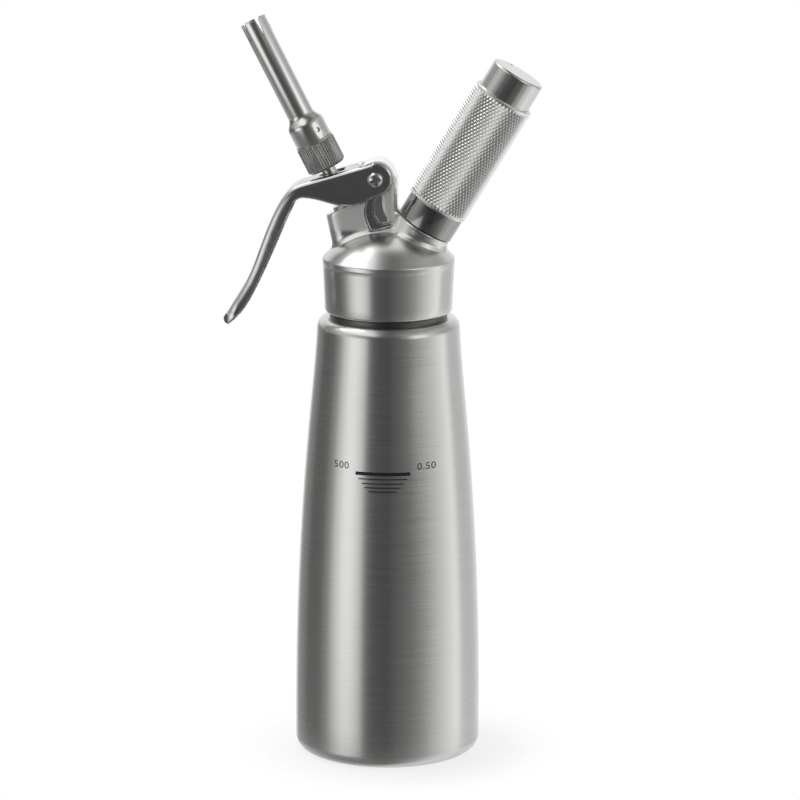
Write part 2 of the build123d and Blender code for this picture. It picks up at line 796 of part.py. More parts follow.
# ---------------------------------------------------------------- charger inlet
with BuildPart() as piercing_pin:
    with BuildSketch(charge_side):
        profile(
            (0, check_valve_top),
            (pin_hole_radius, check_valve_top),
            (pin_hole_radius, socket_floor),
            (needle_radius, socket_floor),
            (needle_radius, needle_shoulder),
            (0, needle_point),
        )
        section(0, needle_bore_radius, check_valve_top, needle_shoulder - needle_radius, mode=Mode.SUBTRACT)
    revolve(axis=charge)
    with BuildSketch(Plane.XZ):
        with Locations(leaning_place(holder_face, -holder_lean, needle_shoulder - 2 * needle_radius)):
            Circle(needle_bore_radius)
    extrude(amount=2 * needle_radius, mode=Mode.SUBTRACT)

with BuildPart() as inlet_gasket:
    with BuildSketch(charge_side):
        section(inlet_gasket_hole, socket_radius, socket_floor, charger_tip)
    revolve(axis=charge)

with BuildPart() as inlet_check_valve:
    with BuildSketch(charge_side):
        section(0, pin_hole_radius, check_valve_top - check_valve_rim, check_valve_top)
        profile(
            (0, check_valve_top),
            (gas_hole_radius, check_valve_top - check_valve_rim),
            (gas_hole_radius / 2, pin_hole_floor),
            (0, pin_hole_floor),
        )
    revolve(axis=charge)
    with BuildSketch(cross_plane(holder_face, -holder_lean, check_valve_top)):
        Rectangle(gas_hole_radius, check_valve_slit)
    extrude(amount=-check_valve_length, mode=Mode.SUBTRACT)

# ---------------------------------------------------------------- gas charger
def charger_body(inset):
    """The charger's body, drawn in from its outer face by inset and open at the neck."""
    neck = charger_neck_radius - inset
    radius = charger_radius - inset
    neck_end = charger_neck_top + inset / 2
    dome_start = charger_tip + charger_length - charger_radius
    with BuildPart() as body:
        with BuildSketch(charge_side):
            with BuildLine():
                Polyline((0, dome_start), (0, charger_tip), (neck, charger_tip), (neck, neck_end))
                shoulder_end = (radius, neck_end + charger_shoulder_length)
                shoulder = Spline((neck, neck_end), shoulder_end, tangents=((1, 0.5), (0.1, 1)))
                Line(shoulder @ 1, (radius, dome_start))
                dome = CenterArc((0, dome_start), radius, 0, 90)
                Line(dome @ 1, (0, dome_start))
            make_face()
        revolve(axis=charge)
    return body.part


charger_outside = charger_body(0)
charger_inside = charger_body(charger_wall)

with BuildPart() as gas_charger:
    add(charger_outside)
    add(charger_inside, mode=Mode.SUBTRACT)

# The sealing cap in the charger's neck, already pierced by the pin.
with BuildPart() as charger_cap:
    with BuildSketch(charge_side):
        cap_hole_radius = needle_radius + needle_hole_gap
        cap_radius = charger_neck_radius - charger_wall
        section(cap_hole_radius, cap_radius, charger_tip, charger_tip + charger_cap_thickness)
    revolve(axis=charge)

# ---------------------------------------------------------------- charger holder
holder_ridge = thread_ridge(
    holder_thread_bore,
    holder_thread,
    cross_plane(holder_face, -holder_lean, holder_thread_start + holder_thread["pitch"] / 2),
    inward=True,
)

with BuildPart() as holder_tube:
    with BuildSketch(charge_side):
        section(0, holder_tube_radius, holder_seam, holder_length)
        section(0, holder_tube_radius + holder_ring_step, holder_seam, ring_top)
        section(0, holder_thread_bore, holder_seam, relief_top, mode=Mode.SUBTRACT)
        section(0, charger_radius + charger_gap, relief_top, cavity_end, mode=Mode.SUBTRACT)
    revolve(axis=charge)
    holder_rims = holder_tube.edges().filter_by(GeomType.CIRCLE).sort_by(charge)
    fillet(holder_rims[-1], holder_top_edge)
    add(holder_ridge)
    with BuildSketch(cross_plane(holder_face, -holder_lean, holder_length)):
        with Locations(holder_vent_place):
            Circle(holder_vent_radius)
    extrude(amount=-holder_end_wall, mode=Mode.SUBTRACT)

sleeve_radius = holder_tube_radius + grip_sleeve_wall
sleeve_top = holder_length - holder_cap_length


def knurl_groove(lefthand):
    """A V groove along a helix round the sleeve, running out past both of its ends."""
    line = Helix(knurl_lead, sleeve_top - ring_top + 2 * knurl_run_out, sleeve_radius, lefthand=lefthand)
    with BuildSketch(Plane(origin=line @ 0, x_dir=(1, 0, 0), z_dir=line % 0)) as groove_section:
        profile((-knurl_depth, 0), (knurl_depth, 2 * knurl_depth), (knurl_depth, -2 * knurl_depth))
    with BuildPart() as groove:
        add(groove_section.sketch)
        sweep(path=line, is_frenet=True)
    return groove.part


# The sleeve's diamond knurl is drawn coarse, with a few of its crossing grooves.
knurl_grooves = (knurl_groove(lefthand=False), knurl_groove(lefthand=True))

with BuildPart() as holder_grip:
    with BuildSketch(charge_side):
        section(holder_tube_radius, sleeve_radius, ring_top, sleeve_top)
    revolve(axis=charge)
    outer_rims = holder_grip.edges().filter_by(GeomType.CIRCLE).group_by(SortBy.RADIUS)[-1]
    chamfer(outer_rims, grip_sleeve_edge)
    knurl_start = cross_plane(holder_face, -holder_lean, ring_top - knurl_run_out).location
    for line in range(knurl_line_count):
        turned = knurl_start * Rotation(0, 0, 360 * line / knurl_line_count)
        for groove in knurl_grooves:
            add(turned * groove, mode=Mode.SUBTRACT)

# ---------------------------------------------------------------- export
pieces = {
    "bottle_shell": bottle_shell,
    "bottle_neck": bottle_neck,
    "head_gasket": head_gasket,
    "head_body": head_body,
    "valve_bush": valve_bush,
    "valve_seat": valve_seat,
    "valve_stem": valve_stem,
    "stem_seal_ring": stem_seal_ring,
    "valve_plug": valve_plug,
    "valve_end_screw": valve_end_screw,
    "valve_spring": valve_spring,
    "nozzle_tip": nozzle_tip,
    "nozzle_grip_ring": nozzle_grip_ring,
    "nozzle_washer": nozzle_washer,
    "lever": lever,
    "pivot_nut": pivot_nut,
    "pivot_screw": pivot_screw,
    "piercing_pin": piercing_pin,
    "inlet_gasket": inlet_gasket,
    "inlet_check_valve": inlet_check_valve,
    "gas_charger": gas_charger,
    "charger_cap": charger_cap,
    "holder_tube": holder_tube,
    "holder_grip": holder_grip,
}

os.makedirs("parts", exist_ok=True)
for name, piece in pieces.items():
    piece.part.label = name
    export_step(piece.part, f"parts/{name}.step")
    print(f"{name}: {piece.part.volume:.1f} mm3, valid {piece.part.is_valid}")
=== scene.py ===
import math
import bpy
import bmesh
import numpy as np
from mathutils import Matrix, Vector
from mathutils.kdtree import KDTree


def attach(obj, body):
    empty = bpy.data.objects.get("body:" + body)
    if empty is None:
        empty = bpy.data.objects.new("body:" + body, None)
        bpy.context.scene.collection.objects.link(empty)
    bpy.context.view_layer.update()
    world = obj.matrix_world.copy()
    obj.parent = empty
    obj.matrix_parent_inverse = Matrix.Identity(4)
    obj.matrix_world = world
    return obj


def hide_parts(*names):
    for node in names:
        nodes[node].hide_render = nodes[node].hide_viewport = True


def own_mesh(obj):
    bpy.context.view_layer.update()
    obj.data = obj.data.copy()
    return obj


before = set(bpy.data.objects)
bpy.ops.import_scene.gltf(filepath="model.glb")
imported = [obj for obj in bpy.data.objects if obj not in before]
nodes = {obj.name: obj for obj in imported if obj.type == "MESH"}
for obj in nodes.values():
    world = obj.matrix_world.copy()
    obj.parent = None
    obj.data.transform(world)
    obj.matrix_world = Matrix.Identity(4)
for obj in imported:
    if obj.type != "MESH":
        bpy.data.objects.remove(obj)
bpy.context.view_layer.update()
mm = 0.001
weldReach = 0.001 * mm
cutReach = 0.0005 * mm
print("frame loaded,", len(nodes), "nodes")

# the two leaning axes start at these places on the head and their own z runs outwards
spoutPlace = Matrix.Translation((-17.45 * mm, 0, 230.4 * mm)) @ Matrix.Rotation(math.radians(-27.0), 4, "Y")
holderPlace = Matrix.Translation((14.8 * mm, 0, 221.8 * mm)) @ Matrix.Rotation(math.radians(30.8), 4, "Y")


# ---- small helpers
def hexColour(text):  # sRGB hex to linear
    def toLinear(value):
        return value / 12.92 if value <= 0.04045 else ((value + 0.055) / 1.055) ** 2.4
    return tuple(toLinear(int(text[i:i + 2], 16) / 255) for i in (0, 2, 4)) + (1.0,)


def addNode(tree, kind, inputs=None, **settings):  # an input is a value, or the socket that feeds it
    node = tree.nodes.new(kind)
    for name, value in settings.items():
        setattr(node, name, value)
    for socket, source in (inputs or {}).items():
        if isinstance(source, bpy.types.NodeSocket):
            tree.links.new(source, node.inputs[socket])
        else:
            node.inputs[socket].default_value = source
    return node


def remap(tree, source, start, end, low=0.0, high=1.0, kind="LINEAR"):
    return addNode(tree, "ShaderNodeMapRange", {0: source, 1: start, 2: end, 3: low, 4: high},
                   interpolation_type=kind).outputs[0]


def combine(tree, operation, first, second):
    return addNode(tree, "ShaderNodeMath", {0: first, 1: second}, operation=operation).outputs[0]


def blend(tree, share, first, second, kind="MIX"):
    return addNode(tree, "ShaderNodeMix", {0: share, 6: first, 7: second}, data_type="RGBA",
                   blend_type=kind).outputs[2]


def startMaterial(name):
    material = bpy.data.materials.new(name)
    material.use_nodes = True
    tree = material.node_tree
    tree.nodes.clear()
    output = addNode(tree, "ShaderNodeOutputMaterial")
    return material, tree, output


def pickOnly(obj):
    if bpy.context.mode != "OBJECT":
        bpy.ops.object.mode_set(mode="OBJECT")
    bpy.ops.object.select_all(action="DESELECT")
    obj.select_set(True)
    bpy.context.view_layer.objects.active = obj


def applyPlace(obj, place):
    pickOnly(obj)
    obj.matrix_world = place
    bpy.ops.object.transform_apply(location=True, rotation=True, scale=True)


def shadeByAngle(obj, degrees=30):
    pickOnly(obj)
    bpy.ops.object.shade_smooth_by_angle(angle=math.radians(degrees))


def giveMaterial(obj, material):
    obj.data.materials.clear()
    obj.data.materials.append(material)


def arcPoints(centre, radius, startDegrees, endDegrees, steps):
    points = []
    for i in range(steps + 1):
        angle = math.radians(startDegrees + (endDegrees - startDegrees) * i / steps)
        points.append((centre[0] + radius * math.cos(angle), centre[1] + radius * math.sin(angle)))
    return points


def roundCorner(before, corner, after, radius, steps):  # a corner of a profile as a short arc
    back = (Vector(before) - Vector(corner)).normalized()
    ahead = (Vector(after) - Vector(corner)).normalized()
    half = back.angle(ahead) / 2
    reach = radius / math.tan(half)
    first = Vector(corner) + back * reach
    last = Vector(corner) + ahead * reach
    middle = Vector(corner) + (back + ahead).normalized() * radius / math.sin(half)
    start = first - middle
    turn = start.angle_signed(last - middle)
    points = []
    for i in range(steps + 1):
        angle = -turn * i / steps
        points.append((middle.x + start.x * math.cos(angle) - start.y * math.sin(angle),
                       middle.y + start.x * math.sin(angle) + start.y * math.cos(angle)))
    return points


def lathe(name, profile, steps=128, place=None, closed=True):
    # one vertex is drawn along the profile in mm and spun round the z axis
    bpy.ops.object.select_all(action="DESELECT")
    bpy.ops.mesh.primitive_plane_add(size=mm, location=(0, 0, 0))
    obj = bpy.context.object
    obj.name = obj.data.name = name
    bpy.ops.object.mode_set(mode="EDIT")
    bpy.ops.mesh.select_all(action="SELECT")
    bpy.ops.mesh.merge(type="CENTER")
    bpy.ops.transform.translate(value=(profile[0][0] * mm, 0, profile[0][1] * mm))
    for (r0, z0), (r1, z1) in zip(profile, profile[1:]):
        step = ((r1 - r0) * mm, 0, (z1 - z0) * mm)
        bpy.ops.mesh.extrude_region_move(TRANSFORM_OT_translate={"value": step})
    bpy.ops.mesh.select_all(action="SELECT")
    if closed:
        mesh = bmesh.from_edit_mesh(obj.data)
        ends = [v for v in mesh.verts if len(v.link_edges) == 1]
        bpy.ops.mesh.select_all(action="DESELECT")
        for v in ends:
            v.select = True
        bmesh.update_edit_mesh(obj.data)
        bpy.ops.mesh.edge_face_add()
        bpy.ops.mesh.select_all(action="SELECT")
    bpy.ops.mesh.spin(steps=steps, angle=math.tau, center=(0, 0, 0), axis=(0, 0, 1))
    bpy.ops.mesh.select_all(action="SELECT")
    bpy.ops.mesh.remove_doubles(threshold=2 * weldReach)
    bpy.ops.mesh.dissolve_degenerate(threshold=weldReach)
    bpy.ops.mesh.normals_make_consistent(inside=False)
    bpy.ops.object.mode_set(mode="OBJECT")
    if place is not None:
        applyPlace(obj, place)
    return obj


def smoothRadius(heights, radii, startSlope, endSlope):  # clamped cubic through the flank's points
    h = np.diff(heights)
    d = np.diff(radii) / h
    n = len(heights)
    rows, right = np.zeros((n, n)), np.zeros(n)
    rows[0, 0], right[0] = 1, startSlope
    rows[-1, -1], right[-1] = 1, endSlope
    for i in range(1, n - 1):
        rows[i, i - 1:i + 2] = (1 / h[i - 1], 2 / h[i - 1] + 2 / h[i], 1 / h[i])
        right[i] = 3 * (d[i - 1] / h[i - 1] + d[i] / h[i])
    slopes = np.linalg.solve(rows, right)

    def at(z):
        i = min(max(int(np.searchsorted(heights, z)) - 1, 0), n - 2)
        t = (z - heights[i]) / h[i]
        return ((1 + 2 * t) * (1 - t) ** 2 * radii[i] + t * (1 - t) ** 2 * h[i] * slopes[i]
                + t * t * (3 - 2 * t) * radii[i + 1] + t * t * (t - 1) * h[i] * slopes[i + 1])
    return at


# ---- camera, in front of the object, a little towards +X and looking down
camera = {
    "azimuth": 4.5, "distance": 1900.0, "height": 581.0, "pitch": 12.828, "yaw": 0.1467, "roll": 0.19,
    "lens": 211.95, "sensor": 36.0, "clipEnd": 20.0,
}
cameraData = bpy.data.cameras.new("camera")
cameraObject = bpy.data.objects.new("camera", cameraData)
bpy.context.scene.collection.objects.link(cameraObject)
cameraData.lens = camera["lens"]
cameraData.sensor_width = camera["sensor"]
cameraData.clip_end = camera["clipEnd"]
toCamera = math.radians(camera["azimuth"])
cameraObject.location = (camera["distance"] * mm * math.sin(toCamera),
                         -camera["distance"] * mm * math.cos(toCamera), camera["height"] * mm)
aim = (Matrix.Rotation(math.radians(camera["azimuth"] - camera["yaw"]), 4, "Z")
       @ Matrix.Rotation(math.radians(90 - camera["pitch"]), 4, "X")
       @ Matrix.Rotation(math.radians(camera["roll"]), 4, "Z"))
cameraObject.rotation_euler = aim.to_euler()
bpy.context.scene.camera = cameraObject
bpy.context.scene.view_settings.view_transform = "Standard"

# ---- studio: panels all round as a world, one soft lamp and a white table top
studio = {
    # brightness of the room by the compass, degrees to the right of the camera's side
    "panels": [
        (-180, 1.1), (-166, 1.05), (-152, 0.36), (-134, 0.26), (-120, 0.12), (-97, 0.115), (-84, 0.31),
        (-71, 0.93), (-60, 1.42), (-50, 1.44), (-38, 1.08), (-29, 0.19), (-19, 0.10), (-9, 0.088), (0, 0.078),
        (10, 0.125), (20, 0.145), (29, 0.155), (38, 0.20), (50, 0.31), (60, 0.52), (71, 0.75), (84, 0.98),
        (97, 1.24), (112, 0.70), (134, 0.68), (160, 0.9), (180, 1.1)],
    # the same above the horizon, where the panel on the left ends and the one on the right is wider
    "upperPanels": [
        (-180, 1.0), (-150, 0.95), (-132, 0.5), (-105, 0.45), (-85, 0.7), (-70, 0.72), (-55, 0.45),
        (-40, 0.18), (-20, 0.09), (0, 0.10), (15, 0.14), (30, 0.4), (44, 1.35), (58, 1.4), (74, 0.8),
        (100, 0.5), (120, 0.5), (150, 0.85), (180, 1.0)],
    "upperStart": 0.03, "upperFull": 0.12,
    # and far below it
    "lowerPanels": [
        (-180, 1.0), (-140, 0.6), (-110, 0.35), (-80, 0.22), (-45, 0.20), (-20, 0.14), (0, 0.14), (20, 0.25),
        (40, 0.45), (65, 0.9), (90, 1.15), (130, 1.0), (180, 1.0)],
    "lowerStart": -0.31, "lowerFull": -0.40,
    # the ceiling from left to right, with its softbox on the left
    "ceiling": [(-1.0, 0.9), (-0.6, 1.3), (-0.3, 1.2), (-0.16, 0.3), (0.0, 0.12), (0.15, 0.15), (0.4, 0.35),
                (0.8, 0.6), (1.0, 0.8)],
    "ceilingStart": 0.42, "ceilingFull": 0.60,
    # a second softbox overhead, behind the object and ending a little to its right
    "rearBox": 1.15, "rearStart": 0.08, "rearFull": 0.3, "rearRight": (0.12, 0.32),
    "backdropStart": 0.955,
    "tableRadius": 0.11, "tableCentre": (0.004, 0.0, 0.0), "tableTone": (0.9, 0.9, 0.9, 1),
    "shadowStart": 0.037, "shadowEnd": 0.072, "shadowShare": 0.2,
    "lampPower": 2.2, "lampSize": 0.5, "lampPlace": (-0.55, 0.25, 1.1), "lampAim": (0, 0, 0.15),
}


def panelRamp(tree, along, panels, span, brightest):  # each panel is its place in the span and its brightness
    ramp = addNode(tree, "ShaderNodeValToRGB", {0: along})
    ramp.color_ramp.interpolation = "EASE"
    stops = ramp.color_ramp.elements
    while len(stops) > 1:
        stops.remove(stops[-1])
    for i, (place, value) in enumerate(panels):
        position = place / span + 0.5
        stop = stops[0] if i == 0 else stops.new(position)
        stop.position = position
        stop.color = (value / brightest,) * 3 + (1.0,)
    return ramp.outputs[0]


def makeWorld(settings):
    world = bpy.data.worlds.new("studioRoom")
    bpy.context.scene.world = world
    world.use_nodes = True
    tree = world.node_tree
    tree.nodes.clear()
    spot = addNode(tree, "ShaderNodeTexCoord")
    parts = addNode(tree, "ShaderNodeSeparateXYZ", {0: spot.outputs["Generated"]}).outputs
    compass = combine(tree, "ARCTAN2", parts["X"], combine(tree, "MULTIPLY", parts["Y"], -1.0))
    turned = remap(tree, compass, toCamera - math.pi, toCamera + math.pi)
    across = remap(tree, parts["X"], -1.0, 1.0)
    # a ramp's values end at 1, so all of them are scaled by the brightest panel
    brightest = max(value for _, value in settings["panels"] + settings["upperPanels"])
    panels = panelRamp(tree, turned, settings["panels"], 360, brightest)
    upperPanels = panelRamp(tree, turned, settings["upperPanels"], 360, brightest)
    lowerPanels = panelRamp(tree, turned, settings["lowerPanels"], 360, brightest)
    ceiling = panelRamp(tree, across, settings["ceiling"], 2, brightest)
    above = remap(tree, parts["Z"], settings["upperStart"], settings["upperFull"], kind="SMOOTHSTEP")
    below = remap(tree, parts["Z"], settings["lowerStart"], settings["lowerFull"], kind="SMOOTHSTEP")
    overhead = remap(tree, parts["Z"], settings["ceilingStart"], settings["ceilingFull"], kind="SMOOTHSTEP")
    backwards = remap(tree, parts["Y"], settings["rearStart"], settings["rearFull"], kind="SMOOTHSTEP")
    sideways = remap(tree, parts["X"], *settings["rearRight"], 1.0, 0.0, "SMOOTHSTEP")
    rearBox = (settings["rearBox"] / brightest,) * 3 + (1.0,)
    ceiling = blend(tree, combine(tree, "MULTIPLY", backwards, sideways), ceiling, rearBox)
    whole = blend(tree, overhead, blend(tree, above, panels, upperPanels), ceiling)
    whole = blend(tree, below, whole, lowerPanels)
    room = addNode(tree, "ShaderNodeBackground", {"Strength": brightest, "Color": whole})
    white = addNode(tree, "ShaderNodeBackground", {"Color": (1, 1, 1, 1), "Strength": 1.0})
    # the camera sees white, and gloss rays meet the white backdrop behind the object
    rays = addNode(tree, "ShaderNodeLightPath").outputs
    seen = combine(tree, "MAXIMUM", rays["Is Camera Ray"], rays["Is Transmission Ray"])
    behind = combine(tree, "GREATER_THAN", parts["Y"], settings["backdropStart"])
    backdrop = combine(tree, "MAXIMUM", seen, combine(tree, "MULTIPLY", rays["Is Glossy Ray"], behind))
    mix = addNode(tree, "ShaderNodeMixShader", {0: backdrop, 1: room.outputs[0], 2: white.outputs[0]})
    addNode(tree, "ShaderNodeOutputWorld", {0: mix.outputs[0]})


def makeTable(settings):
    bpy.ops.object.select_all(action="DESELECT")
    bpy.ops.mesh.primitive_circle_add(vertices=96, radius=settings["tableRadius"], fill_type="NGON",
                                      location=settings["tableCentre"])
    table = bpy.context.object
    table.name = "tableTop"
    bpy.ops.object.transform_apply(location=True)
    material, tree, output = startMaterial("whiteLaminateTable")
    spot = addNode(tree, "ShaderNodeTexCoord")
    centred = addNode(tree, "ShaderNodeMapping", {"Location": settings["tableCentre"],
                                                  "Vector": spot.outputs["Object"]}, vector_type="TEXTURE")
    away = addNode(tree, "ShaderNodeVectorMath", {0: centred.outputs[0]}, operation="LENGTH")
    # the table's share is greatest under the object and fades into the bright room behind it
    fade = remap(tree, away.outputs["Value"], settings["shadowStart"], settings["shadowEnd"],
                 settings["shadowShare"], 0.0, "SMOOTHSTEP")
    matt = addNode(tree, "ShaderNodeBsdfDiffuse", {"Color": settings["tableTone"]})
    clear = addNode(tree, "ShaderNodeBsdfTransparent", {"Color": (1, 1, 1, 1)})
    mix = addNode(tree, "ShaderNodeMixShader", {0: fade, 1: clear.outputs[0], 2: matt.outputs[0]})
    tree.links.new(mix.outputs[0], output.inputs["Surface"])
    giveMaterial(table, material)


def makeLamp(settings):
    lampData = bpy.data.lights.new("softLamp", "AREA")
    lampData.energy = settings["lampPower"]
    lampData.size = settings["lampSize"]
    lamp = bpy.data.objects.new("softLamp", lampData)
    bpy.context.scene.collection.objects.link(lamp)
    lamp.location = settings["lampPlace"]
    lamp.rotation_euler = (Vector(settings["lampAim"]) - lamp.location).to_track_quat("-Z", "Y").to_euler()


makeWorld(studio)
makeTable(studio)
makeLamp(studio)
print("camera and studio ready")

# ---- finishes
# most of a noise's values lie between the first two, and a wide cloud's between the others
grainLow, grainHigh = 0.3, 0.7
cloudLow, cloudHigh = 0.35, 0.65


def ownCoordinates(tree, place=None):  # the object's coordinates, or those of a piece whose z is its axis
    spot = addNode(tree, "ShaderNodeTexCoord").outputs["Object"]
    if place is None:
        return spot
    return addNode(tree, "ShaderNodeMapping", {
        "Location": place.to_translation(), "Rotation": place.to_euler(), "Vector": spot,
    }, vector_type="TEXTURE").outputs[0]


def vary(tree, grain, middle, spread, low=grainLow, high=grainHigh):  # about the middle, with the grain
    return remap(tree, grain, low, high, middle - spread, middle + spread)


def scaledColour(tree, colour, factor):
    return addNode(tree, "ShaderNodeVectorMath", {0: colour, "Scale": factor}, operation="SCALE").outputs[0]


def tonedColour(tree, colour, grain, spread):  # lighter and darker with the grain
    base = addNode(tree, "ShaderNodeRGB")
    base.outputs[0].default_value = hexColour(colour)
    return scaledColour(tree, base.outputs[0], vary(tree, grain, 1.0, spread))


def closeFinish(tree, output, colour, rough, relief, depth, values):
    bump = addNode(tree, "ShaderNodeBump", {"Strength": 1.0, "Distance": depth * mm, "Height": relief})
    shader = addNode(tree, "ShaderNodeBsdfPrincipled", {**values, "Base Color": colour, "Roughness": rough,
                                                        "Normal": bump.outputs[0]})
    tree.links.new(shader.outputs[0], output.inputs["Surface"])
    return shader


def steelFinish(name, colour, roughness, place=None, grain=(40.0, 40.0, 1400.0), grainDepth=0.012,
                grainTone=0.04, anisotropic=0.6, roughSpread=0.06):
    # grain is the brushing's cell count per metre along the piece's own x, y and z
    material, tree, output = startMaterial(name)
    stretched = addNode(tree, "ShaderNodeMapping", {"Scale": grain, "Vector": ownCoordinates(tree, place)},
                        vector_type="POINT")
    streaks = addNode(tree, "ShaderNodeTexNoise", {"Scale": 1.0, "Detail": 3.0, "Roughness": 0.6,
                                                   "Vector": stretched.outputs[0]}).outputs[0]
    rough = vary(tree, streaks, roughness, roughSpread / 2)
    shader = closeFinish(tree, output, tonedColour(tree, colour, streaks, grainTone), rough, streaks,
                         grainDepth, {"Metallic": 1.0, "Anisotropic": anisotropic})
    # the turning marks blur a reflection along the piece's axis
    if place is None:
        shader.inputs["Anisotropic Rotation"].default_value = 0.25
    elif anisotropic > 0:
        # a little off the axis, so that it is never square to a flat end
        along = place.to_3x3() @ Vector((0.03, 0.02, 1.0)).normalized()
        axis = addNode(tree, "ShaderNodeCombineXYZ", {0: along.x, 1: along.y, 2: along.z})
        tangent = addNode(tree, "ShaderNodeVectorTransform", {0: axis.outputs[0]}, vector_type="VECTOR",
                          convert_from="OBJECT", convert_to="WORLD")
        tree.links.new(tangent.outputs[0], shader.inputs["Tangent"])
    return material


def paintedShadeBelow(material, place, height, shadeFactor):  # painted shade: the piece's colour is darkened where its own z lies under height, in mm
    tree = material.node_tree
    shader = next(node for node in tree.nodes if node.type == "BSDF_PRINCIPLED")
    shade = shader.inputs["Base Color"].links[0].from_socket
    along = addNode(tree, "ShaderNodeSeparateXYZ", {0: ownCoordinates(tree, place)})
    under = remap(tree, along.outputs["Z"], height * mm, (height + 1) * mm, shadeFactor, 1.0)
    tree.links.new(scaledColour(tree, shade, under), shader.inputs["Base Color"])


def blastedFinish(name, colour, roughness, grit=1500.0, gritDepth=0.010, gritTone=0.05, cloud=160.0,
                  roughSpread=0.03):
    # grit and cloud are the counts of pits and of duller patches per metre
    material, tree, output = startMaterial(name)
    spot = ownCoordinates(tree)
    pits = addNode(tree, "ShaderNodeTexNoise", {"Scale": grit, "Detail": 2.0, "Vector": spot}).outputs[0]
    patches = addNode(tree, "ShaderNodeTexNoise", {"Scale": cloud, "Detail": 2.0, "Vector": spot}).outputs[0]
    rough = vary(tree, patches, roughness, roughSpread / 2, cloudLow, cloudHigh)
    closeFinish(tree, output, tonedColour(tree, colour, pits, gritTone), rough, pits, gritDepth,
                {"Metallic": 1.0})
    return material


def headFinish(name, colour, settings):
    # turned dome, blasted tower with a paler colour that is partly painted light, and painted shade darkening
    # the pocket in each of its sides
    material, tree, output = startMaterial(name)
    spot = ownCoordinates(tree)
    parts = addNode(tree, "ShaderNodeSeparateXYZ", {0: spot}).outputs
    pits = addNode(tree, "ShaderNodeTexNoise", {"Scale": settings["pits"], "Detail": 2.0,
                                                "Vector": spot}).outputs[0]

    def step(source, places, *span, kind="LINEAR"):  # from the first place to the second, in mm
        return remap(tree, source, places[0] * mm, places[1] * mm, *span, kind=kind)

    tower = step(parts["Z"], settings["towerFoot"], kind="SMOOTHSTEP")
    grit = combine(tree, "MULTIPLY", tower, step(parts["X"], settings["towerRight"]))
    depth = combine(tree, "ABSOLUTE", parts["Y"], 0.0)
    blasted = combine(tree, "MULTIPLY", grit, step(depth, settings["towerFace"]))
    rough = remap(tree, blasted, 0.0, 1.0, settings["turned"], settings["blasted"])
    upright = combine(tree, "MULTIPLY", step(parts["X"], settings["pocketLeft"]),
                      step(parts["Z"], settings["pocketTop"], 1.0, 0.0))
    # the pocket's right side leans out towards its foot
    side = step(parts["Z"], settings["pocketBend"], *(x * mm for x in settings["pocketRight"]))
    across = combine(tree, "MULTIPLY", combine(tree, "LESS_THAN", parts["X"], side), grit)
    inPocket = combine(tree, "MULTIPLY", upright, across)
    shades = addNode(tree, "ShaderNodeValToRGB",
                     {0: combine(tree, "MULTIPLY", depth, 1 / (settings["shadeUnit"] * mm))})
    stops = shades.color_ramp.elements
    for i, (place, value) in enumerate(settings["pocketPaintedShade"]):
        stop = stops[i] if i < 2 else stops.new(place)
        stop.position = place
        stop.color = (value, value, value, 1.0)
    # painted shade: the pocket's colour is darkened by its depth, standing in for the shade in the recess
    tone = blend(tree, inPocket, (1, 1, 1, 1), shades.outputs[0])
    # blasted faces and the lug's rim get a paler colour than the turned dome: partly the blasted finish,
    # partly painted light
    pale = blend(tree, grit, hexColour(colour), hexColour(settings["blastedPaintedLightColour"]))
    closeFinish(tree, output, blend(tree, 1.0, tone, pale, "MULTIPLY"), rough, pits, settings["pitDepth"],
                {"Metallic": 1.0})
    return material


def mouldedFinish(name, colour, roughness, grain=900.0, grainDepth=0.01, softness=0.0, roughSpread=0.1):
    # rubber, silicone and plastic: a fine mould texture, no metal
    material, tree, output = startMaterial(name)
    pits = addNode(tree, "ShaderNodeTexNoise", {"Scale": grain, "Detail": 3.0,
                                                "Vector": ownCoordinates(tree)}).outputs[0]
    rough = vary(tree, pits, roughness, roughSpread / 2)
    closeFinish(tree, output, tonedColour(tree, colour, pits, 0.06), rough, pits, grainDepth,
                {"Metallic": 0.0, "Sheen Weight": softness})
    return material


brushedBottleSteel = steelFinish("brushedStainlessBottle", "CDCDCB", 0.26, grainDepth=0.007, grainTone=0.03,
                                 roughSpread=0.04)
turnedHeadSteel = steelFinish("turnedStainlessCollar", "CDCDCB", 0.25, grain=(40.0, 40.0, 2000.0),
                              grainDepth=0.0015, grainTone=0.02, roughSpread=0.02)
# painted shade: the neck's steel is darkened, as it lies in shade under the collar
shadedNeckSteel = steelFinish("paintedShadeNeckSteel", "6C6C6A", 0.40, grain=(40.0, 40.0, 1200.0), grainDepth=0.006)
satinHeadSteel = headFinish("satinStainlessHead", "D2D2D0", {
    # where each part of the tower fades in, in mm, and the pocket's right side at its foot and its bend
    "towerFoot": (219.5, 221.5), "towerRight": (9.0, 7.0), "towerFace": (5.5, 6.3),
    "pocketLeft": (-10.4, -10.0), "pocketTop": (236.0, 236.4), "pocketBend": (223.0, 229.0),
    "pocketRight": (3.2, -0.6),
    "turned": 0.26, "blasted": 0.58, "blastedPaintedLightColour": "F4F4F2", "pits": 1500.0, "pitDepth": 0.002,
    # painted shade in the pocket by the distance from the tower's middle plane, in units of 10 mm
    "shadeUnit": 10.0,
    "pocketPaintedShade": ((0.0, 0.8), (0.26, 0.8), (0.29, 0.45), (0.38, 0.45), (0.42, 0.6), (0.45, 0.3),
                     (0.60, 0.3), (0.64, 1.0)),
})
polishedLeverSteel = steelFinish("polishedStainlessLever", "C4C4C2", 0.16, grain=(300.0, 300.0, 300.0),
                                 grainDepth=0.003, grainTone=0.02, anisotropic=0.0)
brightFastenerSteel = steelFinish("brightTurnedFastener", "D4D4D2", 0.18, grain=(500.0, 500.0, 500.0),
                                  grainDepth=0.003, anisotropic=0.0)
springWireSteel = steelFinish("drawnSpringWire", "B8B8B6", 0.30, spoutPlace, grainDepth=0.004)
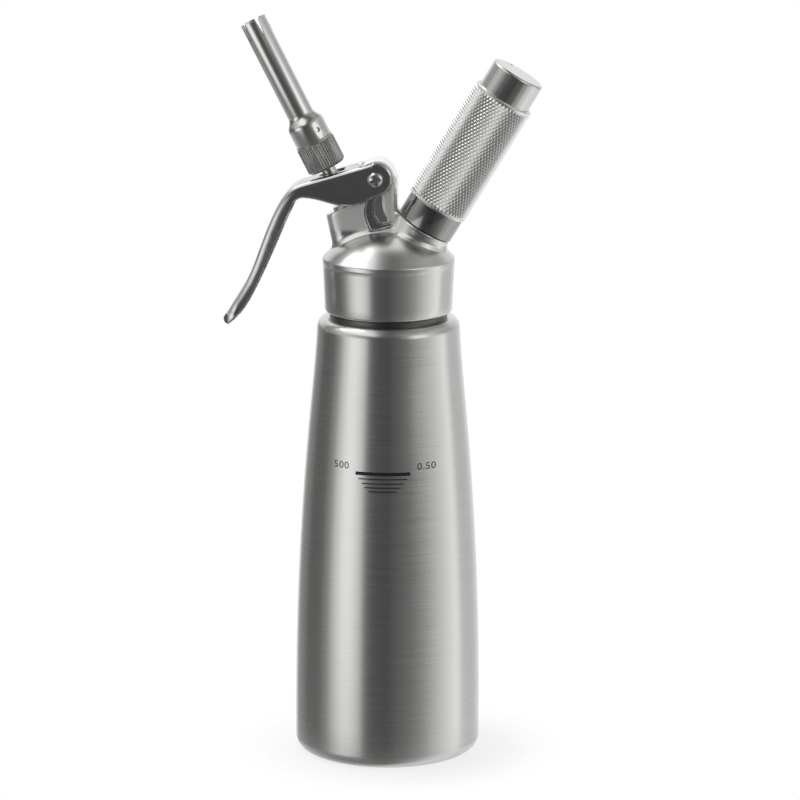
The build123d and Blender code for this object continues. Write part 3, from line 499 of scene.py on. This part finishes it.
nozzleSteel = steelFinish("turnedNozzleSteel", "D6D6D4", 0.22, spoutPlace, grain=(60.0, 60.0, 1600.0),
                          grainDepth=0.002, grainTone=0.02, anisotropic=0.4, roughSpread=0.02)
gripRingSteel = blastedFinish("straightKnurledSteel", "B4B4B2", 0.42, gritDepth=0.004)
stemSteel = steelFinish("turnedValveSteel", "CCCCCA", 0.25, spoutPlace, grain=(60.0, 60.0, 2500.0))
holderSteel = steelFinish("polishedHolderSteel", "C8C8C6", 0.13, holderPlace, grain=(60.0, 60.0, 1800.0),
                          grainDepth=0.002, grainTone=0.02, anisotropic=0.3, roughSpread=0.02)
# painted shade: the holder's foot next to the head is darkened
paintedShadeBelow(holderSteel, holderPlace, 12.0, 0.52)
knurledAluminium = blastedFinish("knurledAluminium", "E2E2E0", 0.30, grit=900.0, gritDepth=0.003)
chargerSteel = steelFinish("drawnChargerSteel", "BDBAB2", 0.34, holderPlace)
foodSilicone = mouldedFinish("foodSilicone", "DCDCD6", 0.5)
nitrileRubber = mouldedFinish("nitrileRubber", "1F1F20", 0.6, softness=0.1)
whitePtfe = mouldedFinish("whitePtfe", "EDEDE8", 0.4)
print("finishes ready")

cadFinishes = {
    "bottle_shell": brushedBottleSteel, "bottle_neck": shadedNeckSteel, "head_gasket": foodSilicone,
    "head_body": satinHeadSteel, "valve_bush": stemSteel, "valve_seat": whitePtfe, "valve_stem": stemSteel,
    "stem_seal_ring": nitrileRubber, "valve_plug": nitrileRubber, "valve_end_screw": brightFastenerSteel,
    "valve_spring": springWireSteel, "nozzle_tip": nozzleSteel, "nozzle_grip_ring": gripRingSteel,
    "nozzle_washer": foodSilicone, "lever": polishedLeverSteel, "pivot_nut": brightFastenerSteel,
    "pivot_screw": brightFastenerSteel, "piercing_pin": brightFastenerSteel, "inlet_gasket": foodSilicone,
    "inlet_check_valve": nitrileRubber, "gas_charger": chargerSteel, "charger_cap": chargerSteel,
    "holder_tube": holderSteel, "holder_grip": knurledAluminium,
}
for name, finish in cadFinishes.items():
    giveMaterial(nodes[name], finish)

# ---- bottle body: rolled foot, flank that tapers from the lower third, rounded shoulder
bottle = {
    "baseRadius": 38.3, "shoulderRadius": 29.3, "height": 184.0, "wall": 0.9, "floor": 1.2, "footRound": 5.5,
    "shoulderRound": 4.5, "shoulderSlope": -0.03, "flankStart": 16.0, "flank": ((36.1, 95.0), (32.3, 145.0)),
    "mouth": 24.2, "roundSteps": 10, "flankSteps": 34, "spinSteps": 192,
}


def bottleSide(settings, inset):
    heights = [settings["flankStart"]] + [z for _, z in settings["flank"]] + [settings["height"] - inset]
    radii = [settings["baseRadius"] - inset] + [r - inset for r, _ in settings["flank"]]
    radii.append(settings["shoulderRadius"] - inset)
    return smoothRadius(heights, radii, 0.0, settings["shoulderSlope"])


def bottleSection(settings, inset, bottom):
    side = bottleSide(settings, inset)
    foot = settings["footRound"] - inset
    top = settings["height"] - inset
    shoulder = settings["shoulderRound"] - inset
    points = [(0.0, bottom)]
    points += arcPoints((settings["baseRadius"] - inset - foot, bottom + foot), foot, -90, 0,
                        settings["roundSteps"])
    points.append((settings["baseRadius"] - inset, settings["flankStart"]))
    last = top - shoulder
    for i in range(1, settings["flankSteps"]):
        z = settings["flankStart"] + (last - settings["flankStart"]) * i / settings["flankSteps"]
        points.append((side(z), z))
    edge = side(last)
    points += arcPoints((edge - shoulder, last), shoulder, 0, 90, settings["roundSteps"])
    points.append((settings["mouth"], top))
    return points


outside = bottleSection(bottle, 0.0, 0.0)
inside = bottleSection(bottle, bottle["wall"], bottle["floor"])
bottleBody = lathe("bottleBody", outside + inside[::-1], bottle["spinSteps"], closed=False)
giveMaterial(bottleBody, brushedBottleSteel)
shadeByAngle(bottleBody, 40)
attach(bottleBody, "bottle")
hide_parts("bottle_shell")
print("bottle ready")

# ---- head: a cast cap whose dome, tower and boss run into each other, a turned collar and the holder's stud
head = {
    "seam": 206.8, "coarseVoxel": 0.5, "blend": 2.4, "voxel": 0.36, "softening": 6, "edgeSoftening": 3,
    "domeRadius": 34.82, "domeCentre": 186.48, "rim": 208.4, "sideFoot": (26.2, 186.3), "sideSlope": 0.0452,
    "drawReach": 0.45, "domeStart": 0.3, "pivot": (-4.8, 242.2), "thickness": 13.2,
    # the turned outside: foot and rim of the collar, the rim's rounding and where the dome's arc starts
    "turnedFoot": (26.37, 190.0), "turnedRim": (27.2, 208.55), "rimRound": 0.9, "domeFrom": 41.0,
    # fills and bores as (radius, from, to) along their own axes, and the stud's cut and radius
    "pivotFill": 2.7, "pivotHole": 2.5, "overshoot": 1.0, "studRoom": ((12.4, 0.0, 14.0),),
    "valveFill": ((5.6, -28.6, -17.0), (5.2, -17.0, 0.0)), "inletFill": ((3.4, -19.0, 0.0),),
    "valveBore": ((5.2, -28.6, -17.9), (3.98, -17.9, -7.0), (4.8, -7.0, 2.0)),
    "inletBore": ((1.6, -19.0, -9.4), (3.2, -9.4, 1.0)), "studCut": 0.05, "studRadius": 10.2,
    # the pocket in each side of the tower, as offsets from the pivot: a shallow step and a deeper one in it
    "pocketFill": ((-5.8, -6.5), (-6.2, -15.0), (-3.4, -22.0), (8.0, -20.0), (4.6, -12.4), (4.6, -6.5)),
    "pocketOuter": ((-3.4, -7.0), (-4.3, -10.2), (-4.8, -12.7), (-4.8, -15.1), (-4.2, -17.5), (-3.3, -19.9),
                    (-2.2, -21.9), (2.0, -21.2), (6.3, -20.2), (7.2, -18.6), (5.0, -16.6), (3.7, -14.2),
                    (3.1, -11.4), (3.1, -7.0)),
    "pocketInner": ((-0.4, -7.0), (-1.0, -9.2), (-1.5, -11.6), (-1.5, -13.9), (-0.9, -16.3), (0.5, -18.4),
                    (2.0, -19.5), (5.6, -18.7), (5.0, -16.6), (3.7, -14.2), (3.1, -11.4), (3.1, -7.0)),
    "pocketStep": 2.6, "pocketDepth": 4.2,
}


def cadCopy(node, name):
    copied = bpy.data.objects.new(name, nodes[node].data.copy())
    copied.data.name = name
    copied.data.materials.clear()
    bpy.context.scene.collection.objects.link(copied)
    pickOnly(copied)
    bpy.ops.object.mode_set(mode="EDIT")
    bpy.ops.mesh.select_all(action="SELECT")
    bpy.ops.mesh.remove_doubles(threshold=weldReach)
    bpy.ops.object.mode_set(mode="OBJECT")
    return copied


def finishWith(obj, kind, **settings):  # adds a modifier and applies it at once
    pickOnly(obj)
    modifier = obj.modifiers.new(kind.lower(), kind)
    for name, value in settings.items():
        setattr(modifier, name, value)
    bpy.ops.object.modifier_apply(modifier=modifier.name)


def cutAway(obj, point, normal):  # removes what lies on the normal's side and closes the cut
    pickOnly(obj)
    bpy.ops.object.mode_set(mode="EDIT")
    bpy.ops.mesh.select_all(action="SELECT")
    bpy.ops.mesh.bisect(plane_co=point, plane_no=normal, use_fill=True, clear_outer=True, clear_inner=False,
                        threshold=cutReach)
    bpy.ops.object.mode_set(mode="OBJECT")


holderFace = holderPlace.to_translation()
holderAxis = holderPlace.to_3x3() @ Vector((0, 0, 1))
spoutAxis = spoutPlace.to_3x3() @ Vector((0, 0, 1))


def prism(name, outline, near, far):  # an outline in mm from the pivot, drawn in x and z and pushed along y
    bpy.ops.object.select_all(action="DESELECT")
    bpy.ops.mesh.primitive_circle_add(vertices=len(outline), radius=mm, fill_type="NGON")
    block = bpy.context.object
    block.name = block.data.name = name
    bpy.ops.object.mode_set(mode="EDIT")
    mesh = bmesh.from_edit_mesh(block.data)
    mesh.verts.ensure_lookup_table()
    for vertex, (x, z) in zip(mesh.verts, outline):
        vertex.co = ((head["pivot"][0] + x) * mm, near * mm, (head["pivot"][1] + z) * mm)
    bmesh.update_edit_mesh(block.data)
    bpy.ops.mesh.select_all(action="SELECT")
    bpy.ops.mesh.extrude_region_move(TRANSFORM_OT_translate={"value": (0, (far - near) * mm, 0)})
    bpy.ops.mesh.select_all(action="SELECT")
    bpy.ops.mesh.normals_make_consistent(inside=False)
    bpy.ops.object.mode_set(mode="OBJECT")
    return block


def joinInto(obj, others):
    pickOnly(obj)
    for other in others:
        other.select_set(True)
    bpy.ops.object.join()


def carve(obj, cutters):
    for cutter in cutters:
        finishWith(obj, "BOOLEAN", operation="DIFFERENCE", object=cutter, solver="MANIFOLD")
        bpy.data.objects.remove(cutter)


def drill(name, steps, place):  # a stepped bore as (radius, from, to) along its axis, in mm
    profile = [(0.0, steps[0][1])]
    for radius, bottom, top in steps:
        profile += [(radius, bottom), (radius, top)]
    profile.append((0.0, steps[-1][2]))
    return lathe(name, profile, 96, place, closed=False)


pivotPlace = (Matrix.Translation((head["pivot"][0] * mm, 0, head["pivot"][1] * mm))
              @ Matrix.Rotation(math.radians(90), 4, "X"))
half = head["thickness"] / 2

headCap = cadCopy("head_body", "headCap")
carve(headCap, [drill("studRoom", head["studRoom"], holderPlace)])
joinInto(headCap, [
    prism("pocketFill", head["pocketFill"], -half, half),
    drill("pivotFill", ((head["pivotFill"], -half, half),), pivotPlace),
    drill("valveFill", head["valveFill"], spoutPlace),
    drill("inletFill", head["inletFill"], holderPlace),
])
finishWith(headCap, "REMESH", mode="VOXEL", voxel_size=head["coarseVoxel"] * mm)
finishWith(headCap, "DISPLACE", strength=head["blend"] * mm, mid_level=0.0)
finishWith(headCap, "REMESH", mode="VOXEL", voxel_size=head["coarseVoxel"] * mm)
finishWith(headCap, "DISPLACE", strength=-head["blend"] * mm, mid_level=0.0)
finishWith(headCap, "REMESH", mode="VOXEL", voxel_size=head["voxel"] * mm)
finishWith(headCap, "SMOOTH", factor=0.5, iterations=head["softening"])
beyond = half + head["overshoot"]
pocketSides = ((-beyond, -half + head["pocketStep"], -half + head["pocketDepth"]),
               (beyond, half - head["pocketStep"], half - head["pocketDepth"]))
for start, step, floor in pocketSides:
    carve(headCap, [prism("pocketOuter", head["pocketOuter"], start, step),
                    prism("pocketInner", head["pocketInner"], start, floor)])
carve(headCap, [
    drill("pivotHole", ((head["pivotHole"], -beyond, beyond),), pivotPlace),
    drill("valveBore", head["valveBore"], spoutPlace),
    drill("inletBore", head["inletBore"], holderPlace),
])
finishWith(headCap, "REMESH", mode="VOXEL", voxel_size=head["voxel"] * mm)
finishWith(headCap, "SMOOTH", factor=0.5, iterations=head["edgeSoftening"])


def drawOnto(obj, guide, settings):  # pulls what lies near the turned surface right onto it
    places = np.zeros(3 * len(obj.data.vertices))
    obj.data.vertices.foreach_get("co", places)
    x, y, z = places.reshape(-1, 3).T / mm
    out = np.hypot(x, y)
    toDome = np.abs(np.hypot(out, z - settings["domeCentre"]) - settings["domeRadius"])
    toSide = np.abs(out - settings["sideFoot"][0] - (z - settings["sideFoot"][1]) * settings["sideSlope"])
    gap = np.where(z > settings["rim"] + settings["domeStart"], toDome, np.minimum(toDome, toSide))
    weights = np.clip(2 - 2 * gap / settings["drawReach"], 0, 1)
    near = obj.vertex_groups.new(name="turned")
    for index in np.flatnonzero(weights):
        near.add([int(index)], float(weights[index]), "REPLACE")
    finishWith(obj, "SHRINKWRAP", target=guide, wrap_method="NEAREST_SURFACEPOINT", vertex_group="turned")
    obj.vertex_groups.clear()


# the turned outside of the dome and collar, with a soft rim between them
domeArc = arcPoints((0.0, head["domeCentre"]), head["domeRadius"], head["domeFrom"], 90.0, 40)[2:]
softRim = roundCorner(head["turnedFoot"], head["turnedRim"], domeArc[0], head["rimRound"], 8)
turnedProfile = [head["turnedFoot"]] + softRim + domeArc
turnedGuide = lathe("turnedGuide", turnedProfile, 256, closed=False)
drawOnto(headCap, turnedGuide, head)
bpy.data.objects.remove(turnedGuide)
cutAway(headCap, (0, 0, head["seam"] * mm), (0, 0, -1))
shadeByAngle(headCap, 50)
giveMaterial(headCap, satinHeadSteel)

headCollar = cadCopy("head_body", "headCollar")
cutAway(headCollar, (0, 0, head["seam"] * mm), (0, 0, 1))
shadeByAngle(headCollar, 40)
giveMaterial(headCollar, turnedHeadSteel)

headStud = cadCopy("head_body", "headStud")
cutAway(headStud, holderFace - holderAxis * head["studCut"] * mm, -holderAxis)
bpy.ops.object.mode_set(mode="EDIT")
bpy.ops.mesh.select_all(action="DESELECT")
studMesh = bmesh.from_edit_mesh(headStud.data)
for vertex in studMesh.verts:
    offset = vertex.co - holderFace
    vertex.select = (offset - holderAxis * offset.dot(holderAxis)).length > head["studRadius"] * mm
bmesh.update_edit_mesh(headStud.data)
bpy.ops.mesh.delete(type="VERT")
bpy.ops.object.mode_set(mode="OBJECT")
shadeByAngle(headStud, 40)
giveMaterial(headStud, turnedHeadSteel)

for piece in (headCap, headCollar, headStud):
    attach(piece, "head")
    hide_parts("head_body")
print("head ready:", len(headCap.data.polygons), "faces in the cap")

# ---- lever: pressed sheet with soft bends and deburred edges
lever = {
    "voxel": 0.30, "softening": 5, "bendReach": 3.2, "rimReach": 0.65, "bendSoftening": 110, "cheek": 5.8,
    # the web between the stem's hole and the hinge, as offsets from the pivot
    "bridge": ((-13.1, 1.85), (-13.46, 3.0), (-5.85, 4.75), (-6.7, 3.3)), "bridgeHalfWidth": 6.0,
    # the bends are tighter round the hinge
    "bendEnd": -9.5,
    # a bend is an edge sharper than the crease, with one face turned outwards and the other on the web
    "crease": 50.0, "outward": 0.9, "webSide": 0.1, "bendStep": 0.4,
}
leverArm = cadCopy("lever", "leverArm")
bendPlaces = []
sheet = bmesh.new()
sheet.from_mesh(leverArm.data)
for edge in sheet.edges:
    if len(edge.link_faces) == 2 and edge.calc_face_angle(0) > math.radians(lever["crease"]):
        first, second = sorted((face.normal for face in edge.link_faces), key=lambda normal: abs(normal.y))
        middle = (edge.verts[0].co + edge.verts[1].co) / 2
        outward = second.y * math.copysign(1, middle.y)
        if outward > lever["outward"] and abs(middle.y) > lever["cheek"] * mm:
            onWeb = first.z - first.x > lever["webSide"] and middle.x < lever["bendEnd"] * mm
            reach = lever["bendReach"] if onWeb else lever["rimReach"]
            steps = max(1, round(edge.calc_length() / (lever["bendStep"] * mm)))
            for i in range(steps + 1):
                bendPlaces.append((edge.verts[0].co.lerp(edge.verts[1].co, i / steps), reach * mm))
sheet.free()
bendTree = KDTree(len(bendPlaces))
for i, (place, _) in enumerate(bendPlaces):
    bendTree.insert(place, i)
bendTree.balance()
joinInto(leverArm, [prism("webBridge", lever["bridge"], -lever["bridgeHalfWidth"], lever["bridgeHalfWidth"])])
finishWith(leverArm, "REMESH", mode="VOXEL", voxel_size=lever["voxel"] * mm)
finishWith(leverArm, "SMOOTH", factor=0.5, iterations=lever["softening"])
pickOnly(leverArm)
bpy.ops.object.mode_set(mode="EDIT")
bpy.ops.mesh.select_all(action="DESELECT")
leverMesh = bmesh.from_edit_mesh(leverArm.data)
for vertex in leverMesh.verts:
    _, nearest, away = bendTree.find(vertex.co)
    vertex.select = away < bendPlaces[nearest][1]
bmesh.update_edit_mesh(leverArm.data)
bpy.ops.mesh.vertices_smooth(factor=0.5, repeat=lever["bendSoftening"])
bpy.ops.object.mode_set(mode="OBJECT")
shadeByAngle(leverArm, 60)
giveMaterial(leverArm, polishedLeverSteel)
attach(leverArm, "lever")
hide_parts("lever")
print("lever ready:", len(leverArm.data.polygons), "faces")

# ---- pivot screw: raised head with a cross recess
screw = {"radius": 3.1, "height": 1.9, "edge": 0.35, "shank": 1.6, "length": 12.0, "recess": (4.4, 1.05, 1.3),
         "turn": 20.0, "place": (-4.8, -8.7, 242.2)}


def makeScrew(settings):
    rise = settings["height"] - settings["edge"]
    crown = [(settings["radius"] * math.cos(t), settings["edge"] + rise * math.sin(t))
             for t in np.linspace(0, math.pi / 2, 14)]
    crown[-1] = (0.0, settings["height"])
    profile = [(0.0, -settings["length"]), (settings["shank"], -settings["length"]), (settings["shank"], 0.0),
               (settings["radius"], 0.0)] + crown
    made = lathe("screwHead", profile, 64, closed=False)
    span, width, depth = settings["recess"]
    top = (0, 0, settings["height"] * mm)
    for quarter in (0, 90):
        bpy.ops.object.select_all(action="DESELECT")
        bpy.ops.mesh.primitive_cube_add(size=mm, location=top)
        bar = bpy.context.object
        bpy.ops.object.mode_set(mode="EDIT")
        bpy.ops.mesh.select_all(action="SELECT")
        bpy.ops.transform.resize(value=(span, width, 2 * depth), center_override=top)
        bpy.ops.object.mode_set(mode="OBJECT")
        applyPlace(bar, Matrix.Rotation(math.radians(settings["turn"] + quarter), 4, "Z")
                   @ Matrix.Translation(top))
        carve(made, [bar])
    applyPlace(made, Matrix.Translation([value * mm for value in settings["place"]])
               @ Matrix.Rotation(math.radians(90), 4, "X"))
    return made


screwHead = makeScrew(screw)
shadeByAngle(screwHead, 35)
giveMaterial(screwHead, brightFastenerSteel)
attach(screwHead, "head")
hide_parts("pivot_screw")
print("screw ready")

# ---- holder's tube: its edges are only broken, by live modifiers
brokenEdge = {"width": 0.30, "segments": 3, "sharper": 50.0}
tubeWeld = nodes["holder_tube"].modifiers.new("weld", "WELD")
tubeWeld.merge_threshold = weldReach
tubeEdge = nodes["holder_tube"].modifiers.new("edge", "BEVEL")
tubeEdge.width = brokenEdge["width"] * mm
tubeEdge.segments = brokenEdge["segments"]
tubeEdge.limit_method = "ANGLE"
tubeEdge.angle_limit = math.radians(brokenEdge["sharper"])
print("holder's edges ready")

# ---- grip ring: the plain band at its top runs to a full edge and its foot is chamfered
gripRing = {"foot": 17.1, "top": 29.3, "radius": 8.1, "skirt": 7.02, "chamfer": 1.0, "footShare": 0.1,
            # how near to its skirt or an end a vertex counts as lying on it
            "onSkirt": 0.03, "onEnd": 0.05}


def makeGripRing(settings):
    ring = cadCopy("nozzle_grip_ring", "gripRing")
    home = spoutPlace.inverted()
    chamferPlace = spoutPlace @ Vector((0, 0, (settings["foot"] + settings["chamfer"]) * mm))
    bpy.ops.object.mode_set(mode="EDIT")
    bpy.ops.mesh.select_all(action="SELECT")
    bpy.ops.mesh.bisect(plane_co=chamferPlace, plane_no=spoutAxis, threshold=cutReach)
    bpy.ops.object.mode_set(mode="OBJECT")
    for vertex in ring.data.vertices:
        place = home @ vertex.co
        out = math.hypot(place.x, place.y)
        if out < (settings["skirt"] + settings["onSkirt"]) * mm:
            continue
        wanted = out
        if place.z > (settings["top"] - settings["onEnd"]) * mm:
            wanted = settings["radius"] * mm
        elif place.z < (settings["foot"] + settings["onEnd"]) * mm:
            wanted = settings["skirt"] * mm + (out - settings["skirt"] * mm) * settings["footShare"]
        place.x, place.y = place.x * wanted / out, place.y * wanted / out
        vertex.co = spoutPlace @ place
    return ring


gripRingPiece = makeGripRing(gripRing)
shadeByAngle(gripRingPiece, 25)
giveMaterial(gripRingPiece, gripRingSteel)
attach(gripRingPiece, "nozzle")
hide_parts("nozzle_grip_ring")
print("grip ring ready")

# ---- nozzle: its fingered tip stands turned a little further round than its dimpled bell
nozzle = {"tubeFoot": 43.0, "turn": 10.5, "edge": 0.18, "segments": 3, "sharper": 50.0}
nozzleFingers = cadCopy("nozzle_tip", "nozzleFingers")
spoutHome = spoutPlace.inverted()
turnTip = spoutPlace @ Matrix.Rotation(math.radians(nozzle["turn"]), 4, "Z") @ spoutHome
for vertex in nozzleFingers.data.vertices:
    if (spoutHome @ vertex.co).z > nozzle["tubeFoot"] * mm:
        vertex.co = turnTip @ vertex.co
finishWith(nozzleFingers, "BEVEL", width=nozzle["edge"] * mm, segments=nozzle["segments"],
           limit_method="ANGLE", angle_limit=math.radians(nozzle["sharper"]))
shadeByAngle(nozzleFingers, 40)
giveMaterial(nozzleFingers, nozzleSteel)
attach(nozzleFingers, "nozzle")
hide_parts("nozzle_tip")
print("nozzle ready")

# ---- knurled sleeve: two crossing sets of V grooves that leave rows of blunt pyramids between plain rims
knurl = {
    "bottom": 10.0, "top": 63.0, "radius": 12.8, "boreRadius": 11.3, "starts": 52, "rows": 42, "depth": 0.32,
    "blunt": 0.10, "edge": 0.95, "chamfer": 0.45, "rim": 0.35,
    # the peaks are raised past the sleeve's radius by this share, and blunting brings them back
    "peakShare": 1.008, "peakStart": 0.03, "rootSlack": 0.02,
}


def makeKnurl(settings):
    low = settings["bottom"] + settings["edge"]
    high = settings["top"] - settings["edge"]
    root = settings["radius"] - settings["depth"]
    step = (high - low) / settings["rows"]
    radius, chamfer = settings["radius"], settings["chamfer"]
    rim = [(settings["boreRadius"], 0.0), (radius - chamfer, 0.0), (radius, chamfer),
           (radius, chamfer + settings["rim"])]
    profile = [(out, settings["bottom"] + rise) for out, rise in rim]
    profile += [(root, low + step * i) for i in range(settings["rows"] + 1)]
    profile += [(out, settings["top"] - rise) for out, rise in reversed(rim)]
    sleeve = lathe("knurledSleeve", profile, 2 * settings["starts"])
    pickOnly(sleeve)
    bpy.ops.object.mode_set(mode="EDIT")
    mesh = bmesh.from_edit_mesh(sleeve.data)
    sector = math.tau / (2 * settings["starts"])
    for v in mesh.verts:
        row = (v.co.z / mm - low) / step
        column = math.atan2(v.co.y, v.co.x) / sector
        outside = math.hypot(v.co.x, v.co.y) > (root - settings["rootSlack"]) * mm
        onGrid = outside and 0.5 < row < settings["rows"] - 0.5
        v.select = onGrid and (round(row) + round(column)) % 2 == 1
    mesh.select_flush_mode()
    bmesh.update_edit_mesh(sleeve.data)
    swell = radius / root * settings["peakShare"]
    bpy.ops.transform.resize(value=(swell, swell, 1), center_override=(0, 0, 0))
    bpy.ops.mesh.select_all(action="SELECT")
    bpy.ops.mesh.quads_convert_to_tris(quad_method="SHORTEST_DIAGONAL", ngon_method="BEAUTY")
    bpy.ops.mesh.select_all(action="DESELECT")
    mesh = bmesh.from_edit_mesh(sleeve.data)
    for v in mesh.verts:
        v.select = math.hypot(v.co.x, v.co.y) > (radius + settings["peakStart"]) * mm
    bmesh.update_edit_mesh(sleeve.data)
    bpy.ops.mesh.bevel(offset=settings["blunt"] * mm, affect="VERTICES", offset_type="OFFSET", segments=1)
    bpy.ops.mesh.select_all(action="SELECT")
    bpy.ops.mesh.normals_make_consistent(inside=False)
    bpy.ops.object.mode_set(mode="OBJECT")
    applyPlace(sleeve, holderPlace)
    return sleeve


knurledSleeve = makeKnurl(knurl)
giveMaterial(knurledSleeve, knurledAluminium)
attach(knurledSleeve, "holder")
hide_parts("holder_grip")
print("knurl ready:", len(knurledSleeve.data.polygons), "faces")

# ---- return spring, drawn again as a coil of wire
spring = {"foot": 1.8, "top": 9.9, "radius": 4.2, "wire": 0.5, "turns": 4.5, "travel": 2.2, "sides": 12,
          "steps": 180}


def makeSpring(settings):
    bpy.ops.object.select_all(action="DESELECT")
    bpy.ops.mesh.primitive_circle_add(vertices=settings["sides"], radius=settings["wire"] * mm,
                                      fill_type="NGON",
                                      location=(settings["radius"] * mm, 0, settings["foot"] * mm),
                                      rotation=(math.radians(90), 0, 0))
    coil = bpy.context.object
    coil.name = coil.data.name = "returnSpring"
    bpy.ops.object.transform_apply(location=True, rotation=True, scale=True)
    rise = (settings["top"] - settings["foot"]) * mm
    finishWith(coil, "SCREW", axis="Z", angle=math.tau * settings["turns"], screw_offset=rise,
               steps=settings["steps"], render_steps=settings["steps"], use_normal_calculate=True)
    pickOnly(coil)
    bpy.ops.object.mode_set(mode="EDIT")
    bpy.ops.mesh.select_all(action="SELECT")
    bpy.ops.mesh.remove_doubles(threshold=weldReach)
    bpy.ops.mesh.select_all(action="DESELECT")
    bpy.ops.mesh.select_non_manifold(extend=False, use_wire=False, use_boundary=True, use_multi_face=False,
                                     use_non_contiguous=False, use_verts=False)
    bpy.ops.mesh.edge_face_add()
    bpy.ops.mesh.select_all(action="SELECT")
    bpy.ops.mesh.normals_make_consistent(inside=False)
    bpy.ops.object.mode_set(mode="OBJECT")
    applyPlace(coil, spoutPlace)
    return coil


returnSpring = makeSpring(spring)
shadeByAngle(returnSpring, 60)
giveMaterial(returnSpring, springWireSteel)
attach(returnSpring, "head")
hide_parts("valve_spring")
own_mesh(returnSpring)
print("spring ready")

# ---- fill mark, printed on the front of the bottle
fillMark = {
    "turn": 0.4, "ink": 0.03, "before": 60.0,
    # each line is its width, its height on the bottle and its thickness
    "lines": ((22.4, 124.9, 1.4), (20.0, 122.7, 0.45), (17.2, 120.9, 0.45), (14.9, 119.2, 0.45),
              (11.5, 117.6, 0.45)),
    "figures": (("500", -17.2, 127.5), ("0.50", 17.6, 127.5)), "figureHeight": 2.9,
    # the font's size for a figure's height of 1, and its spacing
    "fontShare": 1.38, "spacing": 1.1,
}


def wrapOntoBottle(obj, settings, across, height):
    # the flat print stands in front of the bottle, is laid on its face and gets the ink's thickness
    applyPlace(obj, Matrix.Rotation(math.radians(settings["turn"]), 4, "Z")
               @ Matrix.Translation((across * mm, -settings["before"] * mm, height * mm))
               @ Matrix.Rotation(math.radians(90), 4, "X"))
    finishWith(obj, "SHRINKWRAP", target=bottleBody, wrap_method="PROJECT", wrap_mode="ABOVE_SURFACE",
               use_project_y=True, use_positive_direction=True, use_negative_direction=False,
               offset=settings["ink"] * mm)


def makeFillMark(settings):
    prints = []
    for i, (width, height, thickness) in enumerate(settings["lines"]):
        bpy.ops.object.select_all(action="DESELECT")
        bpy.ops.mesh.primitive_grid_add(x_subdivisions=48, y_subdivisions=3, size=mm)
        line = bpy.context.object
        line.name = line.data.name = "fillLine" + str(i)
        bpy.ops.object.mode_set(mode="EDIT")
        bpy.ops.mesh.select_all(action="SELECT")
        bpy.ops.transform.resize(value=(width, thickness, 1))
        bpy.ops.object.mode_set(mode="OBJECT")
        wrapOntoBottle(line, settings, 0.0, height)
        prints.append(line)
    for i, (figures, across, height) in enumerate(settings["figures"]):
        bpy.ops.object.select_all(action="DESELECT")
        bpy.ops.object.text_add()
        text = bpy.context.object
        text.data.body = figures
        text.data.align_x = "CENTER"
        text.data.align_y = "CENTER"
        text.data.size = settings["figureHeight"] * settings["fontShare"] * mm
        text.data.space_character = settings["spacing"]
        text.data.resolution_u = 6
        bpy.ops.object.convert(target="MESH")
        figure = bpy.context.object
        figure.name = figure.data.name = "fillFigure" + str(i)
        bpy.ops.object.mode_set(mode="EDIT")
        bpy.ops.mesh.select_all(action="SELECT")
        bpy.ops.mesh.remove_doubles(threshold=weldReach)
        bpy.ops.mesh.quads_convert_to_tris()
        bpy.ops.object.mode_set(mode="OBJECT")
        wrapOntoBottle(figure, settings, across, height)
        prints.append(figure)
    return prints


blackInk = mouldedFinish("screenPrintedInk", "141414", 0.55, grain=1200.0, grainDepth=0.002)
for printed in makeFillMark(fillMark):
    giveMaterial(printed, blackInk)
    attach(printed, "bottle")
print("fill mark ready")
